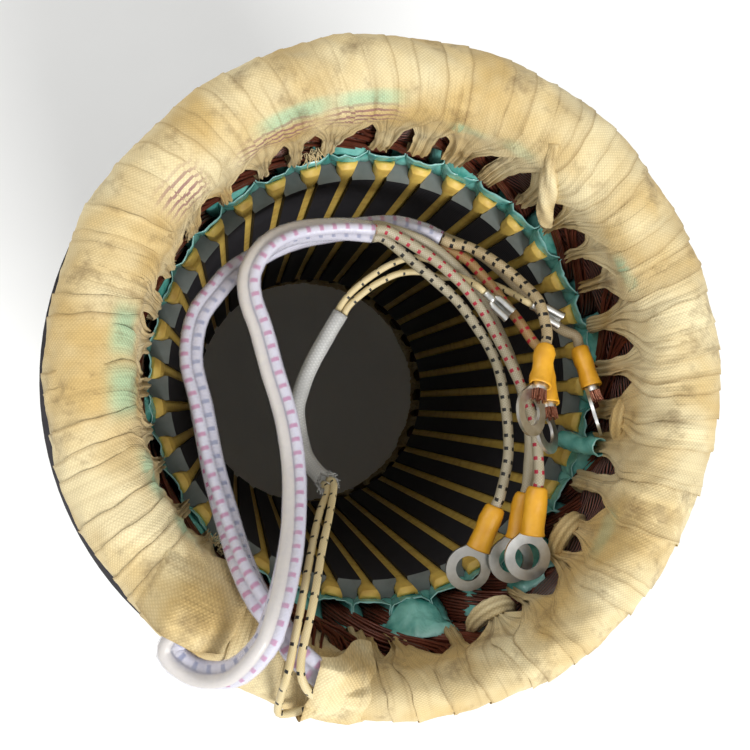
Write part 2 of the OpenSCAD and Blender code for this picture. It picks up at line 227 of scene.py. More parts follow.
@dataclass(frozen=True)
class Finish:
    """A named finish, with the record's slot that it fills."""

    name: str
    slot: str

    def shade(self, tree: NodeTree) -> Node:
        """Adds the finish's nodes.

        Args:
            tree: The material's tree.

        Returns:
            The finish's shader.
        """
        raise NotImplementedError

    def clouds(
        self,
        tree: NodeTree,
        patch_mm: float,
        detail: float,
        colours: tuple[str, str],
        spread: tuple[float, float] = (0.0, 1.0),
        most: float = 1.0,
        distortion: float = 0.0,
    ) -> tuple[NodeSocket, NodeSocket]:
        """Adds soft patches of two colours.

        Args:
            tree: The material's tree.
            patch_mm: Size of a patch.
            detail: How ragged the patches are.
            colours: The two colours.
            spread: Strengths between which the first colour turns into the second.
            most: The largest share of the second colour.
            distortion: How far the patches are drawn out.

        Returns:
            The patches' strength, and their colour.
        """
        place = put(tree, "ShaderNodeTexCoord").outputs["Object"]
        cloud = put(tree, "ShaderNodeTexNoise", {
            "Vector": place, "Scale": per_mm(patch_mm), "Detail": detail, "Distortion": distortion,
        }).outputs["Fac"]
        share = put(tree, "ShaderNodeMapRange", {
            "Value": cloud, "From Min": spread[0], "From Max": spread[1], "To Max": most,
        }).outputs[0]
        first, second = colours
        colour = put(tree, "ShaderNodeMix", {0: share, 6: srgb(first), 7: srgb(second)}, data_type="RGBA")
        return cloud, colour.outputs[2]

    def material(self) -> Material:
        """Makes the finish's material at its first use.

        Returns:
            The finish's one material.
        """
        if self.name not in MATERIALS:
            made = bpy.data.materials.new(self.name)
            made.use_nodes = True
            made.node_tree.nodes.clear()
            shader = self.shade(made.node_tree)
            put(made.node_tree, "ShaderNodeOutputMaterial", {"Surface": shader.outputs[0]})
            MATERIALS[self.name] = made
        return MATERIALS[self.name]


@dataclass(frozen=True)
class LaminationSteel(Finish):
    """Stacked electrical steel: bare grey tooth faces, dark varnish with sheet lines on walls, painted shade
    on outer faces.
    """

    # Real sheets are half a millimetre; the lines are drawn coarser to show
    sheet_mm: float = 1.6
    # The faces are bare grey out to one radius, and from another take the dark varnish colour as painted
    # shade
    bare_face_r: float = 94.0
    painted_shade_r: float = 100.0

    def shade(self, tree: NodeTree) -> Node:
        """Adds the finish's nodes.

        Args:
            tree: The material's tree.

        Returns:
            The finish's shader.
        """
        place = put(tree, "ShaderNodeTexCoord").outputs["Object"]
        normal = put(tree, "ShaderNodeNewGeometry").outputs["Normal"]
        level = put(tree, "ShaderNodeSeparateXYZ", {0: normal}).outputs["Z"]
        facing = put(tree, "ShaderNodeMath", {0: level}, operation="ABSOLUTE").outputs[0]
        sheets = put(
            tree, "ShaderNodeTexWave",
            {"Vector": place, "Scale": bands(self.sheet_mm), "Distortion": 0.5, "Detail": 1.0},
            bands_direction="Z",
        ).outputs["Fac"]
        mottle, varnish = self.clouds(tree, 6.0, 6.0, ("#313033", "#47454A"))
        wall = put(
            tree, "ShaderNodeMix", {0: sheets, 6: srgb("#262528"), 7: varnish}, data_type="RGBA",
        ).outputs[2]
        flat = put(
            tree, "ShaderNodeMix", {0: mottle, 6: srgb("#636967"), 7: srgb("#8E9492")}, data_type="RGBA",
        ).outputs[2]
        # Painted shade: beyond a radius the flat faces take the dark varnish colour
        level_place = put(
            tree, "ShaderNodeVectorMath", {0: place, 1: (1.0, 1.0, 0.0)}, operation="MULTIPLY",
        ).outputs[0]
        away = put(tree, "ShaderNodeVectorMath", {0: level_place}, operation="LENGTH").outputs["Value"]
        painted_shade_margin = put(
            tree, "ShaderNodeMapRange",
            {"Value": away, "From Min": self.bare_face_r * MM, "From Max": self.painted_shade_r * MM},
        ).outputs[0]
        face = put(tree, "ShaderNodeMix", {0: painted_shade_margin, 6: flat, 7: varnish}, data_type="RGBA").outputs[2]
        colour = put(tree, "ShaderNodeMix", {0: facing, 6: wall, 7: face}, data_type="RGBA").outputs[2]
        bump = put(tree, "ShaderNodeBump", {"Height": sheets, "Strength": 0.3, "Distance": 0.0002})
        return put(tree, "ShaderNodeBsdfPrincipled", {
            "Base Color": colour, "Roughness": 0.6, "Specular IOR Level": 0.15, "Normal": bump.outputs[0],
        })


@dataclass(frozen=True)
class PolyesterFilm(Finish):
    """Creased polyester film: glossy, milky at its bent edges and deeper in soft patches."""

    deep: str = "#459890"
    body: str = "#84CBC2"
    edge: str = "#B4DED9"

    def shade(self, tree: NodeTree) -> Node:
        """Adds the finish's nodes.

        Args:
            tree: The material's tree.

        Returns:
            The finish's shader.
        """
        place = put(tree, "ShaderNodeTexCoord").outputs["Object"]
        crease = put(
            tree, "ShaderNodeTexNoise",
            {"Vector": place, "Scale": per_mm(3.5), "Detail": 3.0, "Distortion": 1.2},
        ).outputs["Fac"]
        loose = put(tree, "ShaderNodeAttribute", attribute_name="loose").outputs["Fac"]
        tone = self.clouds(tree, 9.0, 4.0, (self.deep, self.body), spread=(0.35, 0.65))[1]
        rim = put(
            tree, "ShaderNodeMapRange", {"Value": loose, "From Min": 0.86, "From Max": 1.0, "To Max": 0.5},
        ).outputs[0]
        colour = put(
            tree, "ShaderNodeMix", {0: rim, 6: tone, 7: srgb(self.edge)}, data_type="RGBA",
        ).outputs[2]
        bump = put(tree, "ShaderNodeBump", {"Height": crease, "Strength": 0.5, "Distance": 0.0009})
        return put(tree, "ShaderNodeBsdfPrincipled", {
            "Base Color": colour, "Roughness": 0.24, "IOR": 1.6, "Coat Weight": 0.3,
            "Normal": bump.outputs[0],
        })


@dataclass(frozen=True)
class WedgeFibre(Finish):
    """Folded insulating fibre strip: matt ochre, browner in worn patches."""

    def shade(self, tree: NodeTree) -> Node:
        """Adds the finish's nodes.

        Args:
            tree: The material's tree.

        Returns:
            The finish's shader.
        """
        place = put(tree, "ShaderNodeTexCoord").outputs["Object"]
        grit = put(
            tree, "ShaderNodeTexNoise", {"Vector": place, "Scale": per_mm(0.7), "Detail": 2.0},
        ).outputs["Fac"]
        colour = self.clouds(tree, 5.0, 5.0, ("#EFCB66", "#C99A44"), spread=(0.45, 0.75), most=0.7)[1]
        bump = put(tree, "ShaderNodeBump", {"Height": grit, "Strength": 0.25, "Distance": 0.0002})
        return put(tree, "ShaderNodeBsdfPrincipled", {
            "Base Color": colour, "Roughness": 0.5, "Normal": bump.outputs[0],
        })


@dataclass(frozen=True)
class EnamelledCopper(Finish):
    """Magnet wire: dark red-brown enamel over copper, with a thin bright line of gloss."""

    # Pitch of the wires where a surface stands for a wound bundle, drawn coarser than they are to show
    wound_mm: float = 0.0

    def shade(self, tree: NodeTree) -> Node:
        """Adds the finish's nodes.

        Args:
            tree: The material's tree.

        Returns:
            The finish's shader.
        """
        colour = self.clouds(tree, 4.0, 3.0, ("#3A1A12", "#8E4A36"))[1]
        surface = {
            "Base Color": colour, "Metallic": 0.4, "Roughness": 0.3, "Coat Weight": 0.6,
            "Coat Roughness": 0.2,
        }
        if self.wound_mm:
            laid = put(tree, "ShaderNodeUVMap", uv_map="UVMap").outputs["UV"]
            wires = put(
                tree, "ShaderNodeTexWave",
                {
                    "Vector": laid, "Scale": bands(self.wound_mm), "Distortion": 6.0, "Detail": 0.0,
                    "Detail Scale": 0.05,
                },
                bands_direction="Y",
            ).outputs["Fac"]
            # Painted shade: the grooves between the wound wires are darkened
            groove = put(
                tree, "ShaderNodeMapRange",
                {"Value": wires, "From Min": 0.1, "From Max": 0.75, "To Min": 1.0, "To Max": 0.0},
            ).outputs[0]
            surface["Base Color"] = put(
                tree, "ShaderNodeMix", {0: groove, 6: colour, 7: srgb("#0C0403")}, data_type="RGBA",
            ).outputs[2]
            surface["Normal"] = put(
                tree, "ShaderNodeBump", {"Height": wires, "Strength": 1.0, "Distance": 0.0012},
            ).outputs[0]
        return put(tree, "ShaderNodeBsdfPrincipled", surface)


@dataclass(frozen=True)
class WovenTape(Finish):
    """Cotton binding tape: plain weave yellowed by varnish and stained, film and tracer showing, painted
    shade in hollows and folds.
    """

    # Real threads are 0.4 mm apart; the weave is drawn coarser to show
    thread_mm: float = 0.8
    tracer_mm: float = 2.4
    # Width and length of the pleats where the tape is drawn together
    pleat_mm: float = 2.2
    pleat_l: float = 45.0

    def shade(self, tree: NodeTree) -> Node:
        """Adds the finish's nodes.

        Args:
            tree: The material's tree.

        Returns:
            The finish's shader.
        """
        cloth = put(tree, "ShaderNodeUVMap", uv_map="UVMap").outputs["UV"]
        place = put(tree, "ShaderNodeTexCoord").outputs["Object"]
        laid = put(
            tree, "ShaderNodeVectorRotate", {"Vector": cloth, "Angle": math.pi / 4}, rotation_type="Z_AXIS",
        ).outputs[0]
        threads = [
            put(
                tree, "ShaderNodeTexWave",
                {"Vector": laid, "Scale": bands(self.thread_mm), "Distortion": 0.8, "Detail": 1.0},
                bands_direction=way,
            ).outputs["Fac"]
            for way in ("X", "Y")
        ]
        weave = put(tree, "ShaderNodeMath", {0: threads[0], 1: threads[1]}, operation="MULTIPLY").outputs[0]
        blot = put(
            tree, "ShaderNodeTexNoise",
            {"Vector": place, "Scale": per_mm(11.0), "Detail": 7.0, "Roughness": 0.68},
        ).outputs["Fac"]
        soil, film, tracer, drawn = (
            put(tree, "ShaderNodeAttribute", attribute_name=key).outputs["Fac"]
            for key in ("soil", "film", "tracer", "drawn")
        )
        rows = put(
            tree, "ShaderNodeTexWave", {"Vector": cloth, "Scale": bands(self.tracer_mm)}, bands_direction="Y",
        ).outputs["Fac"]
        line = put(
            tree, "ShaderNodeMapRange", {"Value": rows, "From Min": 0.55, "From Max": 0.75, "To Max": 0.8},
        ).outputs[0]
        dash = put(tree, "ShaderNodeMath", {0: tracer, 1: line}, operation="MULTIPLY").outputs[0]
        stained = put(
            tree, "ShaderNodeMapRange", {"Value": blot, "From Min": 0.55, "From Max": 0.72, "To Max": 0.62},
        ).outputs[0]
        # Painted shade: the hollows of the weave are darkened
        hollow = put(
            tree, "ShaderNodeMapRange", {"Value": weave, "From Max": 0.5, "To Min": 0.2, "To Max": 0.0},
        ).outputs[0]
        stretched = put(
            tree, "ShaderNodeVectorMath",
            {0: cloth, 1: (per_mm(self.pleat_mm), per_mm(self.pleat_l), 1.0)}, operation="MULTIPLY",
        ).outputs[0]
        pleats = put(
            tree, "ShaderNodeTexNoise", {"Vector": stretched, "Scale": 1.0, "Detail": 2.5, "Distortion": 0.4},
        ).outputs["Fac"]
        depth = put(tree, "ShaderNodeMath", {0: pleats, 1: drawn}, operation="MULTIPLY").outputs[0]
        # Painted shade: darker in the pleats' grooves, as far as the tape is drawn together
        groove = put(
            tree, "ShaderNodeMapRange",
            {"Value": pleats, "From Min": 0.3, "From Max": 0.46, "To Min": 0.55, "To Max": 0.0},
        ).outputs[0]
        shaded = put(tree, "ShaderNodeMath", {0: groove, 1: drawn}, operation="MULTIPLY").outputs[0]
        colour = self.clouds(tree, 24.0, 3.0, ("#F0E1B4", "#D6B87A"), spread=(0.36, 0.66))[1]
        # Each layer covers the ones before it: soil with painted shade, film, tracer, stains, and painted
        # shade in the weave's hollows and the pleats' grooves
        layers = (
            (soil, "#8A6C3C"), (film, "#96D6B4"), (dash, "#8A5664"),
            (stained, "#6A543A"), (hollow, "#7E6238"), (shaded, "#7E6238"),
        )
        for share, tone in layers:
            colour = put(
                tree, "ShaderNodeMix", {0: share, 6: colour, 7: srgb(tone)}, data_type="RGBA",
            ).outputs[2]
        folded = put(tree, "ShaderNodeBump", {"Height": depth, "Strength": 1.0, "Distance": 0.0016})
        bump = put(tree, "ShaderNodeBump", {
            "Height": weave, "Strength": 0.45, "Distance": 0.00025, "Normal": folded.outputs[0],
        })
        return put(tree, "ShaderNodeBsdfPrincipled", {
            "Base Color": colour, "Roughness": 0.8, "Sheen Weight": 0.05, "Specular IOR Level": 0.25,
            "Normal": bump.outputs[0],
        })


@dataclass(frozen=True)
class ClearFilm(Finish):
    """Thin wound film sleeve: milky blue-white, glossy, with the leads showing through."""

    def shade(self, tree: NodeTree) -> Node:
        """Adds the finish's nodes.

        Args:
            tree: The material's tree.

        Returns:
            The finish's shader.
        """
        crinkle, colour = self.clouds(tree, 2.6, 3.0, ("#DADBF2", "#F4F3FA"), distortion=0.6)
        bump = put(tree, "ShaderNodeBump", {"Height": crinkle, "Strength": 0.35, "Distance": 0.0005})
        return put(tree, "ShaderNodeBsdfPrincipled", {
            "Base Color": colour, "Alpha": 0.34, "Roughness": 0.2, "IOR": 1.5, "Normal": bump.outputs[0],
        })


@dataclass(frozen=True)
class GlassBraid(Finish):
    """Varnished glass braid on a wire: fine crossed yarns, some with a coloured tracer."""

    yarn: str = "#DDD3BC"
    shade_yarn: str = "#8E8468"
    tick: str = ""
    tick_pitch: float = 4.3
    tick_share: float = 0.27
    tick_width: float = 0.55
    rows: int = 4
    # Real yarns are finer; the braid is drawn coarser to show
    yarn_mm: float = 0.7
    braid_angle: float = 0.9

    def ticks(
        self, tree: NodeTree, around: NodeSocket, along: NodeSocket,
    ) -> NodeSocket:
        """Adds the tracer's dashes, in rows round the wire.

        Args:
            tree: The material's tree.
            around: Place round the wire, from 0 to 1.
            along: Place along the wire in metres.

        Returns:
            A socket that is 1 on a dash.
        """
        column = put(
            tree, "ShaderNodeMath", {0: around, 1: float(self.rows), 2: 0.75}, operation="MULTIPLY_ADD",
        ).outputs[0]
        lane = put(tree, "ShaderNodeMath", {0: column}, operation="FRACT").outputs[0]
        row = put(tree, "ShaderNodeMath", {0: column}, operation="FLOOR").outputs[0]
        beat = put(
            tree, "ShaderNodeMath", {0: along, 1: 1 / (self.tick_pitch * MM)}, operation="MULTIPLY",
        ).outputs[0]
        late = put(tree, "ShaderNodeMath", {0: row, 1: 0.06, 2: beat}, operation="MULTIPLY_ADD").outputs[0]
        part = put(tree, "ShaderNodeMath", {0: late}, operation="FRACT").outputs[0]
        in_lane = put(tree, "ShaderNodeMath", {0: lane, 1: self.tick_width}, operation="LESS_THAN").outputs[0]
        in_beat = put(tree, "ShaderNodeMath", {0: part, 1: self.tick_share}, operation="LESS_THAN").outputs[0]
        return put(tree, "ShaderNodeMath", {0: in_lane, 1: in_beat}, operation="MULTIPLY").outputs[0]

    def shade(self, tree: NodeTree) -> Node:
        """Adds the finish's nodes.

        Args:
            tree: The material's tree.

        Returns:
            The finish's shader.
        """
        uv = put(tree, "ShaderNodeUVMap", uv_map="UVMap").outputs["UV"]
        parts = put(tree, "ShaderNodeSeparateXYZ", {0: uv})
        girth = math.pi * SIZE.lead_d * MM
        spread = put(
            tree, "ShaderNodeVectorMath", {0: uv, 1: (girth, 1.0, 1.0)}, operation="MULTIPLY",
        ).outputs[0]
        yarns = []
        for turn in (self.braid_angle, -self.braid_angle):
            laid = put(
                tree, "ShaderNodeVectorRotate", {"Vector": spread, "Angle": turn}, rotation_type="Z_AXIS",
            ).outputs[0]
            yarns.append(put(
                tree, "ShaderNodeTexWave", {"Vector": laid, "Scale": bands(self.yarn_mm)},
                bands_direction="X",
            ).outputs["Fac"])
        braid = put(tree, "ShaderNodeMath", {0: yarns[0], 1: yarns[1]}, operation="MULTIPLY").outputs[0]
        aged = self.clouds(tree, 8.0, 4.0, (self.yarn, self.shade_yarn))[1]
        # Painted shade: darker in the hollows between the yarns
        grey = put(tree, "ShaderNodeMapRange", {"Value": braid, "To Min": 0.6, "To Max": 0.0}).outputs[0]
        colour = put(
            tree, "ShaderNodeMix", {0: grey, 6: aged, 7: srgb(self.shade_yarn)}, data_type="RGBA",
        ).outputs[2]
        if self.tick:
            dashes = self.ticks(tree, parts.outputs["X"], parts.outputs["Y"])
            colour = put(
                tree, "ShaderNodeMix", {0: dashes, 6: colour, 7: srgb(self.tick)}, data_type="RGBA",
            ).outputs[2]
        bump = put(tree, "ShaderNodeBump", {"Height": braid, "Strength": 0.4, "Distance": 0.0002})
        return put(tree, "ShaderNodeBsdfPrincipled", {
            "Base Color": colour, "Roughness": 0.45, "Normal": bump.outputs[0],
        })


@dataclass(frozen=True)
class TinnedCopper(Finish):
    """Tin plate on a stamped terminal: soft grey metal with handling marks."""

    def shade(self, tree: NodeTree) -> Node:
        """Adds the finish's nodes.

        Args:
            tree: The material's tree.

        Returns:
            The finish's shader.
        """
        haze, colour = self.clouds(tree, 2.5, 6.0, ("#BEBEBA", "#ECECE8"))
        rough = put(tree, "ShaderNodeMapRange", {"Value": haze, "To Min": 0.22, "To Max": 0.5}).outputs[0]
        bump = put(tree, "ShaderNodeBump", {"Height": haze, "Strength": 0.2, "Distance": 0.0002})
        return put(tree, "ShaderNodeBsdfPrincipled", {
            "Base Color": colour, "Metallic": 1.0, "Roughness": rough, "Normal": bump.outputs[0],
        })


@dataclass(frozen=True)
class SoftToned(Finish):
    """A plain finish of two tones in soft patches, which may be raised."""

    colours: tuple[str, str]
    patch_mm: float
    detail: float
    roughness: float
    metallic: float = 0.0
    ior: Optional[float] = None
    # Strength and height of the raised patches
    raised: float = 0.0
    raised_mm: float = 0.0

    def shade(self, tree: NodeTree) -> Node:
        """Adds the finish's nodes.

        Args:
            tree: The material's tree.

        Returns:
            The finish's shader.
        """
        cloud, colour = self.clouds(tree, self.patch_mm, self.detail, self.colours)
        surface = {"Base Color": colour, "Metallic": self.metallic, "Roughness": self.roughness}
        if self.ior:
            surface["IOR"] = self.ior
        if self.raised:
            surface["Normal"] = put(tree, "ShaderNodeBump", {
                "Height": cloud, "Strength": self.raised, "Distance": self.raised_mm * MM,
            }).outputs[0]
        return put(tree, "ShaderNodeBsdfPrincipled", surface)


STEEL = LaminationSteel("varnished_laminations", "lamination_steel")
LINER_FILM = PolyesterFilm("slot_polyester_film", "liner_film")
PHASE_FILM = PolyesterFilm("phase_polyester_film", "separator_film", "#43998E", "#8AD0C5", "#BEE6DE")
FIBRE = WedgeFibre("wedge_fibre", "wedge_strip")
COPPER = EnamelledCopper("magnet_wire_enamel", "enamelled_copper")
BUNDLE = EnamelledCopper("magnet_wire_bundle", "enamelled_copper", 1.7)
TAPE = WovenTape("woven_cotton", "cotton_tape")
SLEEVE_FILM = ClearFilm("clear_film", "clear_sleeving")
WHITE_PLAIN = GlassBraid("braid_white", "white_lead")
WHITE_RED = GlassBraid("braid_white_red", "white_lead", tick="#A81E38")
WHITE_BLACK = GlassBraid("braid_white_black", "white_lead", tick="#121212")
SLEEVED_PLAIN = GlassBraid("braid_sleeved", "white_lead", "#E9E4D4", "#C9BFA8")
SLEEVED_RED = GlassBraid(
    "braid_sleeved_red", "white_lead", "#F0EEF2", "#C4C2D0", "#B4187C", tick_share=0.3, rows=2,
)
SLEEVED_BLUE = GlassBraid(
    "braid_sleeved_blue", "white_lead", "#F0EEF2", "#C4C2D0", "#6E7AA0", tick_share=0.3, rows=2,
)
TAN_PLAIN = GlassBraid("braid_tan", "tan_lead", "#CDBB98", "#85765A")
TAN_RED = GlassBraid("braid_tan_red", "tan_lead", "#C9A670", "#8E6B40", "#A81E2C", tick_width=0.7)
TAN_BLACK = GlassBraid("braid_tan_black", "tan_lead", "#DCC9A4", "#96825C", "#121212", tick_width=0.7)
SENSOR_BRAID = GlassBraid(
    "braid_sensor", "sensor_wire", "#F0E4C0", "#C4AE78", "#121212", tick_pitch=6.5, tick_share=0.13, rows=3,
)
SLEEVE_BRAID = GlassBraid("braid_sleeving", "glass_sleeving", "#E2E2DE", "#9A9A98", yarn_mm=0.9)
TIN = TinnedCopper("tin_plate", "tinned_copper")
# Cut ends of stranded copper: bright pink-orange metal
BARE = SoftToned("bare_copper", "tinned_copper", ("#E0A58A", "#8C4A32"), 0.6, 3.0, 0.3, metallic=1.0)
# Dip-moulded vinyl: warm yellow in two soft tones, gently glossy and a little uneven
VINYL = SoftToned(
    "soft_vinyl", "vinyl_boot", ("#F0B530", "#CF8F1C"), 4.0, 4.0, 0.4, ior=1.52, raised=0.4, raised_mm=0.8,
)
# Plain pale paper, faintly uneven
PAPER = SoftToned("studio_paper", "", ("#F4F4F2", "#FAFAF8"), 60.0, 2.0, 0.9)


@dataclass
class MeshParts:
    """Grids of points gathered into one mesh, in millimetres."""

    points: list[np.ndarray] = field(default_factory=list)
    faces: list[list[int]] = field(default_factory=list)
    corners: list[np.ndarray] = field(default_factory=list)
    slots: list[int] = field(default_factory=list)
    marks: dict[str, list[np.ndarray]] = field(default_factory=dict)
    count: int = 0

    def grid(
        self,
        points: np.ndarray,
        uv: Optional[np.ndarray] = None,
        wrap: bool = False,
        loop: bool = False,
        caps: bool = False,
        flip: bool = False,
        slot: int = 0,
        **marks: np.ndarray,
    ) -> None:
        """Adds a grid of quads.

        Args:
            points: Rows by columns by three.
            uv: One coordinate pair for each point, with one more column or row where it closes, if any.
            wrap: Closes the columns into rings.
            loop: Closes the rows as well.
            caps: Fills the first and last ring.
            flip: Turns the faces round.
            slot: Material number of the faces.
            **marks: A number for each point, kept as an attribute.
        """
        rows, cols = points.shape[:2]
        if uv is None:
            uv = np.zeros((rows + 1, cols + 1, 2))
        i, j = np.meshgrid(
            np.arange(rows if loop else rows - 1), np.arange(cols if wrap else cols - 1), indexing="ij",
        )
        near, far = (i % rows) * cols, ((i + 1) % rows) * cols
        side = (j + 1) % cols
        quads = np.stack([near + j, near + side, far + side, far + j], -1).reshape(-1, 4) + self.count
        pairs = np.stack([uv[i, j], uv[i, j + 1], uv[i + 1, j + 1], uv[i + 1, j]], -2).reshape(-1, 4, 2)
        if flip:
            quads, pairs = quads[:, ::-1], pairs[:, ::-1]
        self.faces.extend(quads.tolist())
        self.corners.append(pairs.reshape(-1, 2))
        self.slots.extend([slot] * len(quads))
        if caps:
            first = list(range(self.count + cols - 1, self.count - 1, -1))
            last = list(range(self.count + (rows - 1) * cols, self.count + rows * cols))
            for ring in (first, last):
                self.faces.append(ring[::-1] if flip else ring)
                self.corners.append(np.zeros((cols, 2)))
                self.slots.append(slot)
        self.points.append(points.reshape(-1, 3))
        for key, value in marks.items():
            self.marks.setdefault(key, []).append(np.broadcast_to(value, (rows, cols)).ravel())
        self.count += rows * cols

    def make(self, name: str, finishes: Sequence[Finish]) -> Object:
        """Makes the mesh object.

        Args:
            name: Name of the object and its mesh.
            finishes: Finishes in the order of the material numbers.

        Returns:
            The object, at the origin and in the scene.
        """
        mesh = bpy.data.meshes.new(name)
        mesh.from_pydata((np.vstack(self.points) * MM).tolist(), [], self.faces)
        layer = mesh.uv_layers.new(name="UVMap")
        layer.data.foreach_set("uv", np.vstack(self.corners).ravel())
        for key, values in self.marks.items():
            mesh.attributes.new(key, "FLOAT", "POINT").data.foreach_set("value", np.concatenate(values))
        for finish in finishes:
            mesh.materials.append(finish.material())
        mesh.polygons.foreach_set("material_index", self.slots)
        mesh.polygons.foreach_set("use_smooth", [True] * len(mesh.polygons))
        mesh.update()
        return show(bpy.data.objects.new(name, mesh))


def show(piece: Object) -> Object:
    """Puts an object in the scene and returns it."""
    bpy.context.scene.collection.objects.link(piece)
    return piece


def seat(piece: Object, slot: str, *nodes: str) -> Object:
    """Lets a piece ride on the part and stand for construction nodes.

    Args:
        piece: The finished piece.
        slot: The record's material slot; not used.
        *nodes: Construction nodes that the piece stands for.

    Returns:
        The piece.
    """
    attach(piece, ROOT)
    if nodes:
        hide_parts(*nodes)
    LOG.info("%s: %d faces", piece.name, len(piece.data.polygons))
    return piece


def wall(piece: Object, thickness: float) -> Object:
    """Gives a sheet its thickness.

    Args:
        piece: The sheet.
        thickness: Its thickness in millimetres.

    Returns:
        The piece.
    """
    solid = piece.modifiers.new("wall", "SOLIDIFY")
    solid.thickness = thickness * MM
    solid.offset = 0.0
    return piece


def joined(name: str, pieces: list[Object]) -> Object:
    """Joins objects into one.

    Args:
        name: Name of the result.
        pieces: The objects to join.

    Returns:
        The object that is left.
    """
    target = pieces[0]
    with bpy.context.temp_override(
        active_object=target, object=target, selected_objects=pieces, selected_editable_objects=pieces,
    ):
        bpy.ops.object.join()
    target.name = name
    target.data.name = name
    return target


def coat(node: str, finish: Finish) -> Object:
    """Gives a construction node that stays in sight its finish.

    Args:
        node: Name of the node.
        finish: The finish.

    Returns:
        The node's object.
    """
    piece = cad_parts[node]
    piece.data.materials.clear()
    piece.data.materials.append(finish.material())
    LOG.info("%s dressed", node)
    return piece


def unit(vector: np.ndarray) -> np.ndarray:
    """Returns the vector at length 1."""
    return vector / np.linalg.norm(vector, axis=-1, keepdims=True)


def ease(low: float, high: float, value: np.ndarray) -> np.ndarray:
    """Returns a smooth step from 0 at low to 1 at high."""
    t = np.clip((value - low) / (high - low), 0, 1)
    return t * t * (3 - 2 * t)


def ripple(seed: int, *axes: np.ndarray) -> np.ndarray:
    """Smooth waves without a plain repeat, from about -1 to 1.

    Args:
        seed: Chooses the waves.
        *axes: Coordinates in wavelengths of the widest wave.

    Returns:
        A value for each point.
    """
    octaves = 5
    finer = 0.7
    fainter = 0.8
    usual_height = 2.2
    rng = np.random.default_rng(seed)
    total = np.zeros(np.broadcast(*axes).shape)
    for octave in range(octaves):
        waves = rng.uniform(0.6, 1.0, len(axes)) * 2 ** (octave * finer) * rng.choice([-1, 1], len(axes))
        phase = sum(wave * 2 * math.pi * axis for wave, axis in zip(waves, axes)) + rng.uniform(0, 6.28)
        total += fainter ** octave * np.sin(phase)
    return total / usual_height


def over_face(points: Route) -> np.ndarray:
    """Turns route points over the front core face into points of the part."""
    return np.array(points, float) + [0, 0, SIZE.face_z]


def smooth(points: np.ndarray, step: float) -> np.ndarray:
    """Runs a smooth curve through points.

    Args:
        points: The points to pass.
        step: Longest distance between two points of the curve.

    Returns:
        The curve's points.
    """
    p = np.vstack([2 * points[0] - points[1], points, 2 * points[-1] - points[-2]])
    runs = []
    for a, b, c, d in zip(p, p[1:], p[2:], p[3:]):
        count = max(1, math.ceil(np.linalg.norm(c - b) / step))
        t = (np.arange(count) / count)[:, None]
        runs.append(0.5 * (2 * b + (c - a) * t + (2 * a - 5 * b + 4 * c - d) * t ** 2
                           + (3 * b - a - 3 * c + d) * t ** 3))
    return np.vstack(runs + [points[-1:]])


def frames(path: np.ndarray) -> tuple[np.ndarray, np.ndarray, np.ndarray]:
    """Directions of a path.

    Args:
        path: Points of the path.

    Returns:
        At each point the direction along it, and two across it that don't twist round it.
    """
    along = unit(np.gradient(path, axis=0))
    across = [unit(np.cross(along[0], UP))]
    for direction in along[1:]:
        across.append(unit(across[-1] - direction * (across[-1] @ direction)))
    side = np.array(across)
    return along, side, np.cross(along, side)


def run_of(path: np.ndarray) -> np.ndarray:
    """Returns the length along a path at each of its points."""
    return np.r_[0, np.cumsum(np.linalg.norm(np.diff(path, axis=0), axis=1))]


def tube(
    parts: MeshParts, path: np.ndarray, radius: Union[float, np.ndarray], sides: int, slot: int = 0,
    girth: float = 1.0, caps: bool = True, **marks: np.ndarray,
) -> None:
    """Adds a tube along a path.

    Args:
        parts: The mesh that gets the tube.
        path: Centres of the rings.
        radius: One radius, one for each ring, or one for each point of each ring.
        sides: Points round a ring.
        slot: Material number.
        girth: The first coordinate's range round the tube.
        caps: Whether its ends are closed.
        **marks: Point attributes.
    """
    _, side, over = frames(path)
    turn = np.arange(sides) * 2 * math.pi / sides
    ring = np.cos(turn)[None, :, None] * side[:, None] + np.sin(turn)[None, :, None] * over[:, None]
    size = np.asarray(radius, float)
    size = size[:, None] if size.ndim == 1 else size
    points = path[:, None] + np.broadcast_to(size, (len(path), sides))[..., None] * ring
    v, u = np.meshgrid(run_of(path) * MM, girth * np.arange(sides + 1) / sides, indexing="ij")
    parts.grid(points, np.stack([u, v], -1), wrap=True, caps=caps, slot=slot, **marks)


def new_tree(name: str, inputs: dict[str, str]) -> tuple[NodeTree, Node, dict[str, str]]:
    """Starts a geometry tree with named inputs.

    Args:
        name: Name of the tree.
        inputs: Socket type of each input.

    Returns:
        The tree, its input node and each input's identifier.
    """
    tree = bpy.data.node_groups.new(name, "GeometryNodeTree")
    tree.interface.new_socket("Geometry", in_out="INPUT", socket_type="NodeSocketGeometry")
    tree.interface.new_socket("Geometry", in_out="OUTPUT", socket_type="NodeSocketGeometry")
    named = {
        key: tree.interface.new_socket(key, in_out="INPUT", socket_type=kind).identifier
        for key, kind in inputs.items()
    }
    return tree, put(tree, "NodeGroupInput"), named


@dataclass
class GeometryRule:
    """A geometry tree and the identifiers of its inputs."""

    tree: NodeTree
    named: dict[str, str]

    def run(self, source: Object, name: str, **values: object) -> Object:
        """Runs the tree on an object and keeps its result as a plain mesh.

        Args:
            source: The object that the tree reads, which is removed.
            name: Name of the result.
            **values: Values of the tree's inputs, with _ for a space.

        Returns:
            The new object.
        """
        modifier = source.modifiers.new("rule", "NODES")
        modifier.node_group = self.tree
        for key, value in values.items():
            modifier[self.named[key.replace("_", " ")]] = value
        graph = bpy.context.evaluated_depsgraph_get()
        mesh = bpy.data.meshes.new_from_object(
            source.evaluated_get(graph), preserve_all_data_layers=True, depsgraph=graph,
        )
        mesh.name = name
        bpy.data.objects.remove(source)
        return show(bpy.data.objects.new(name, mesh))


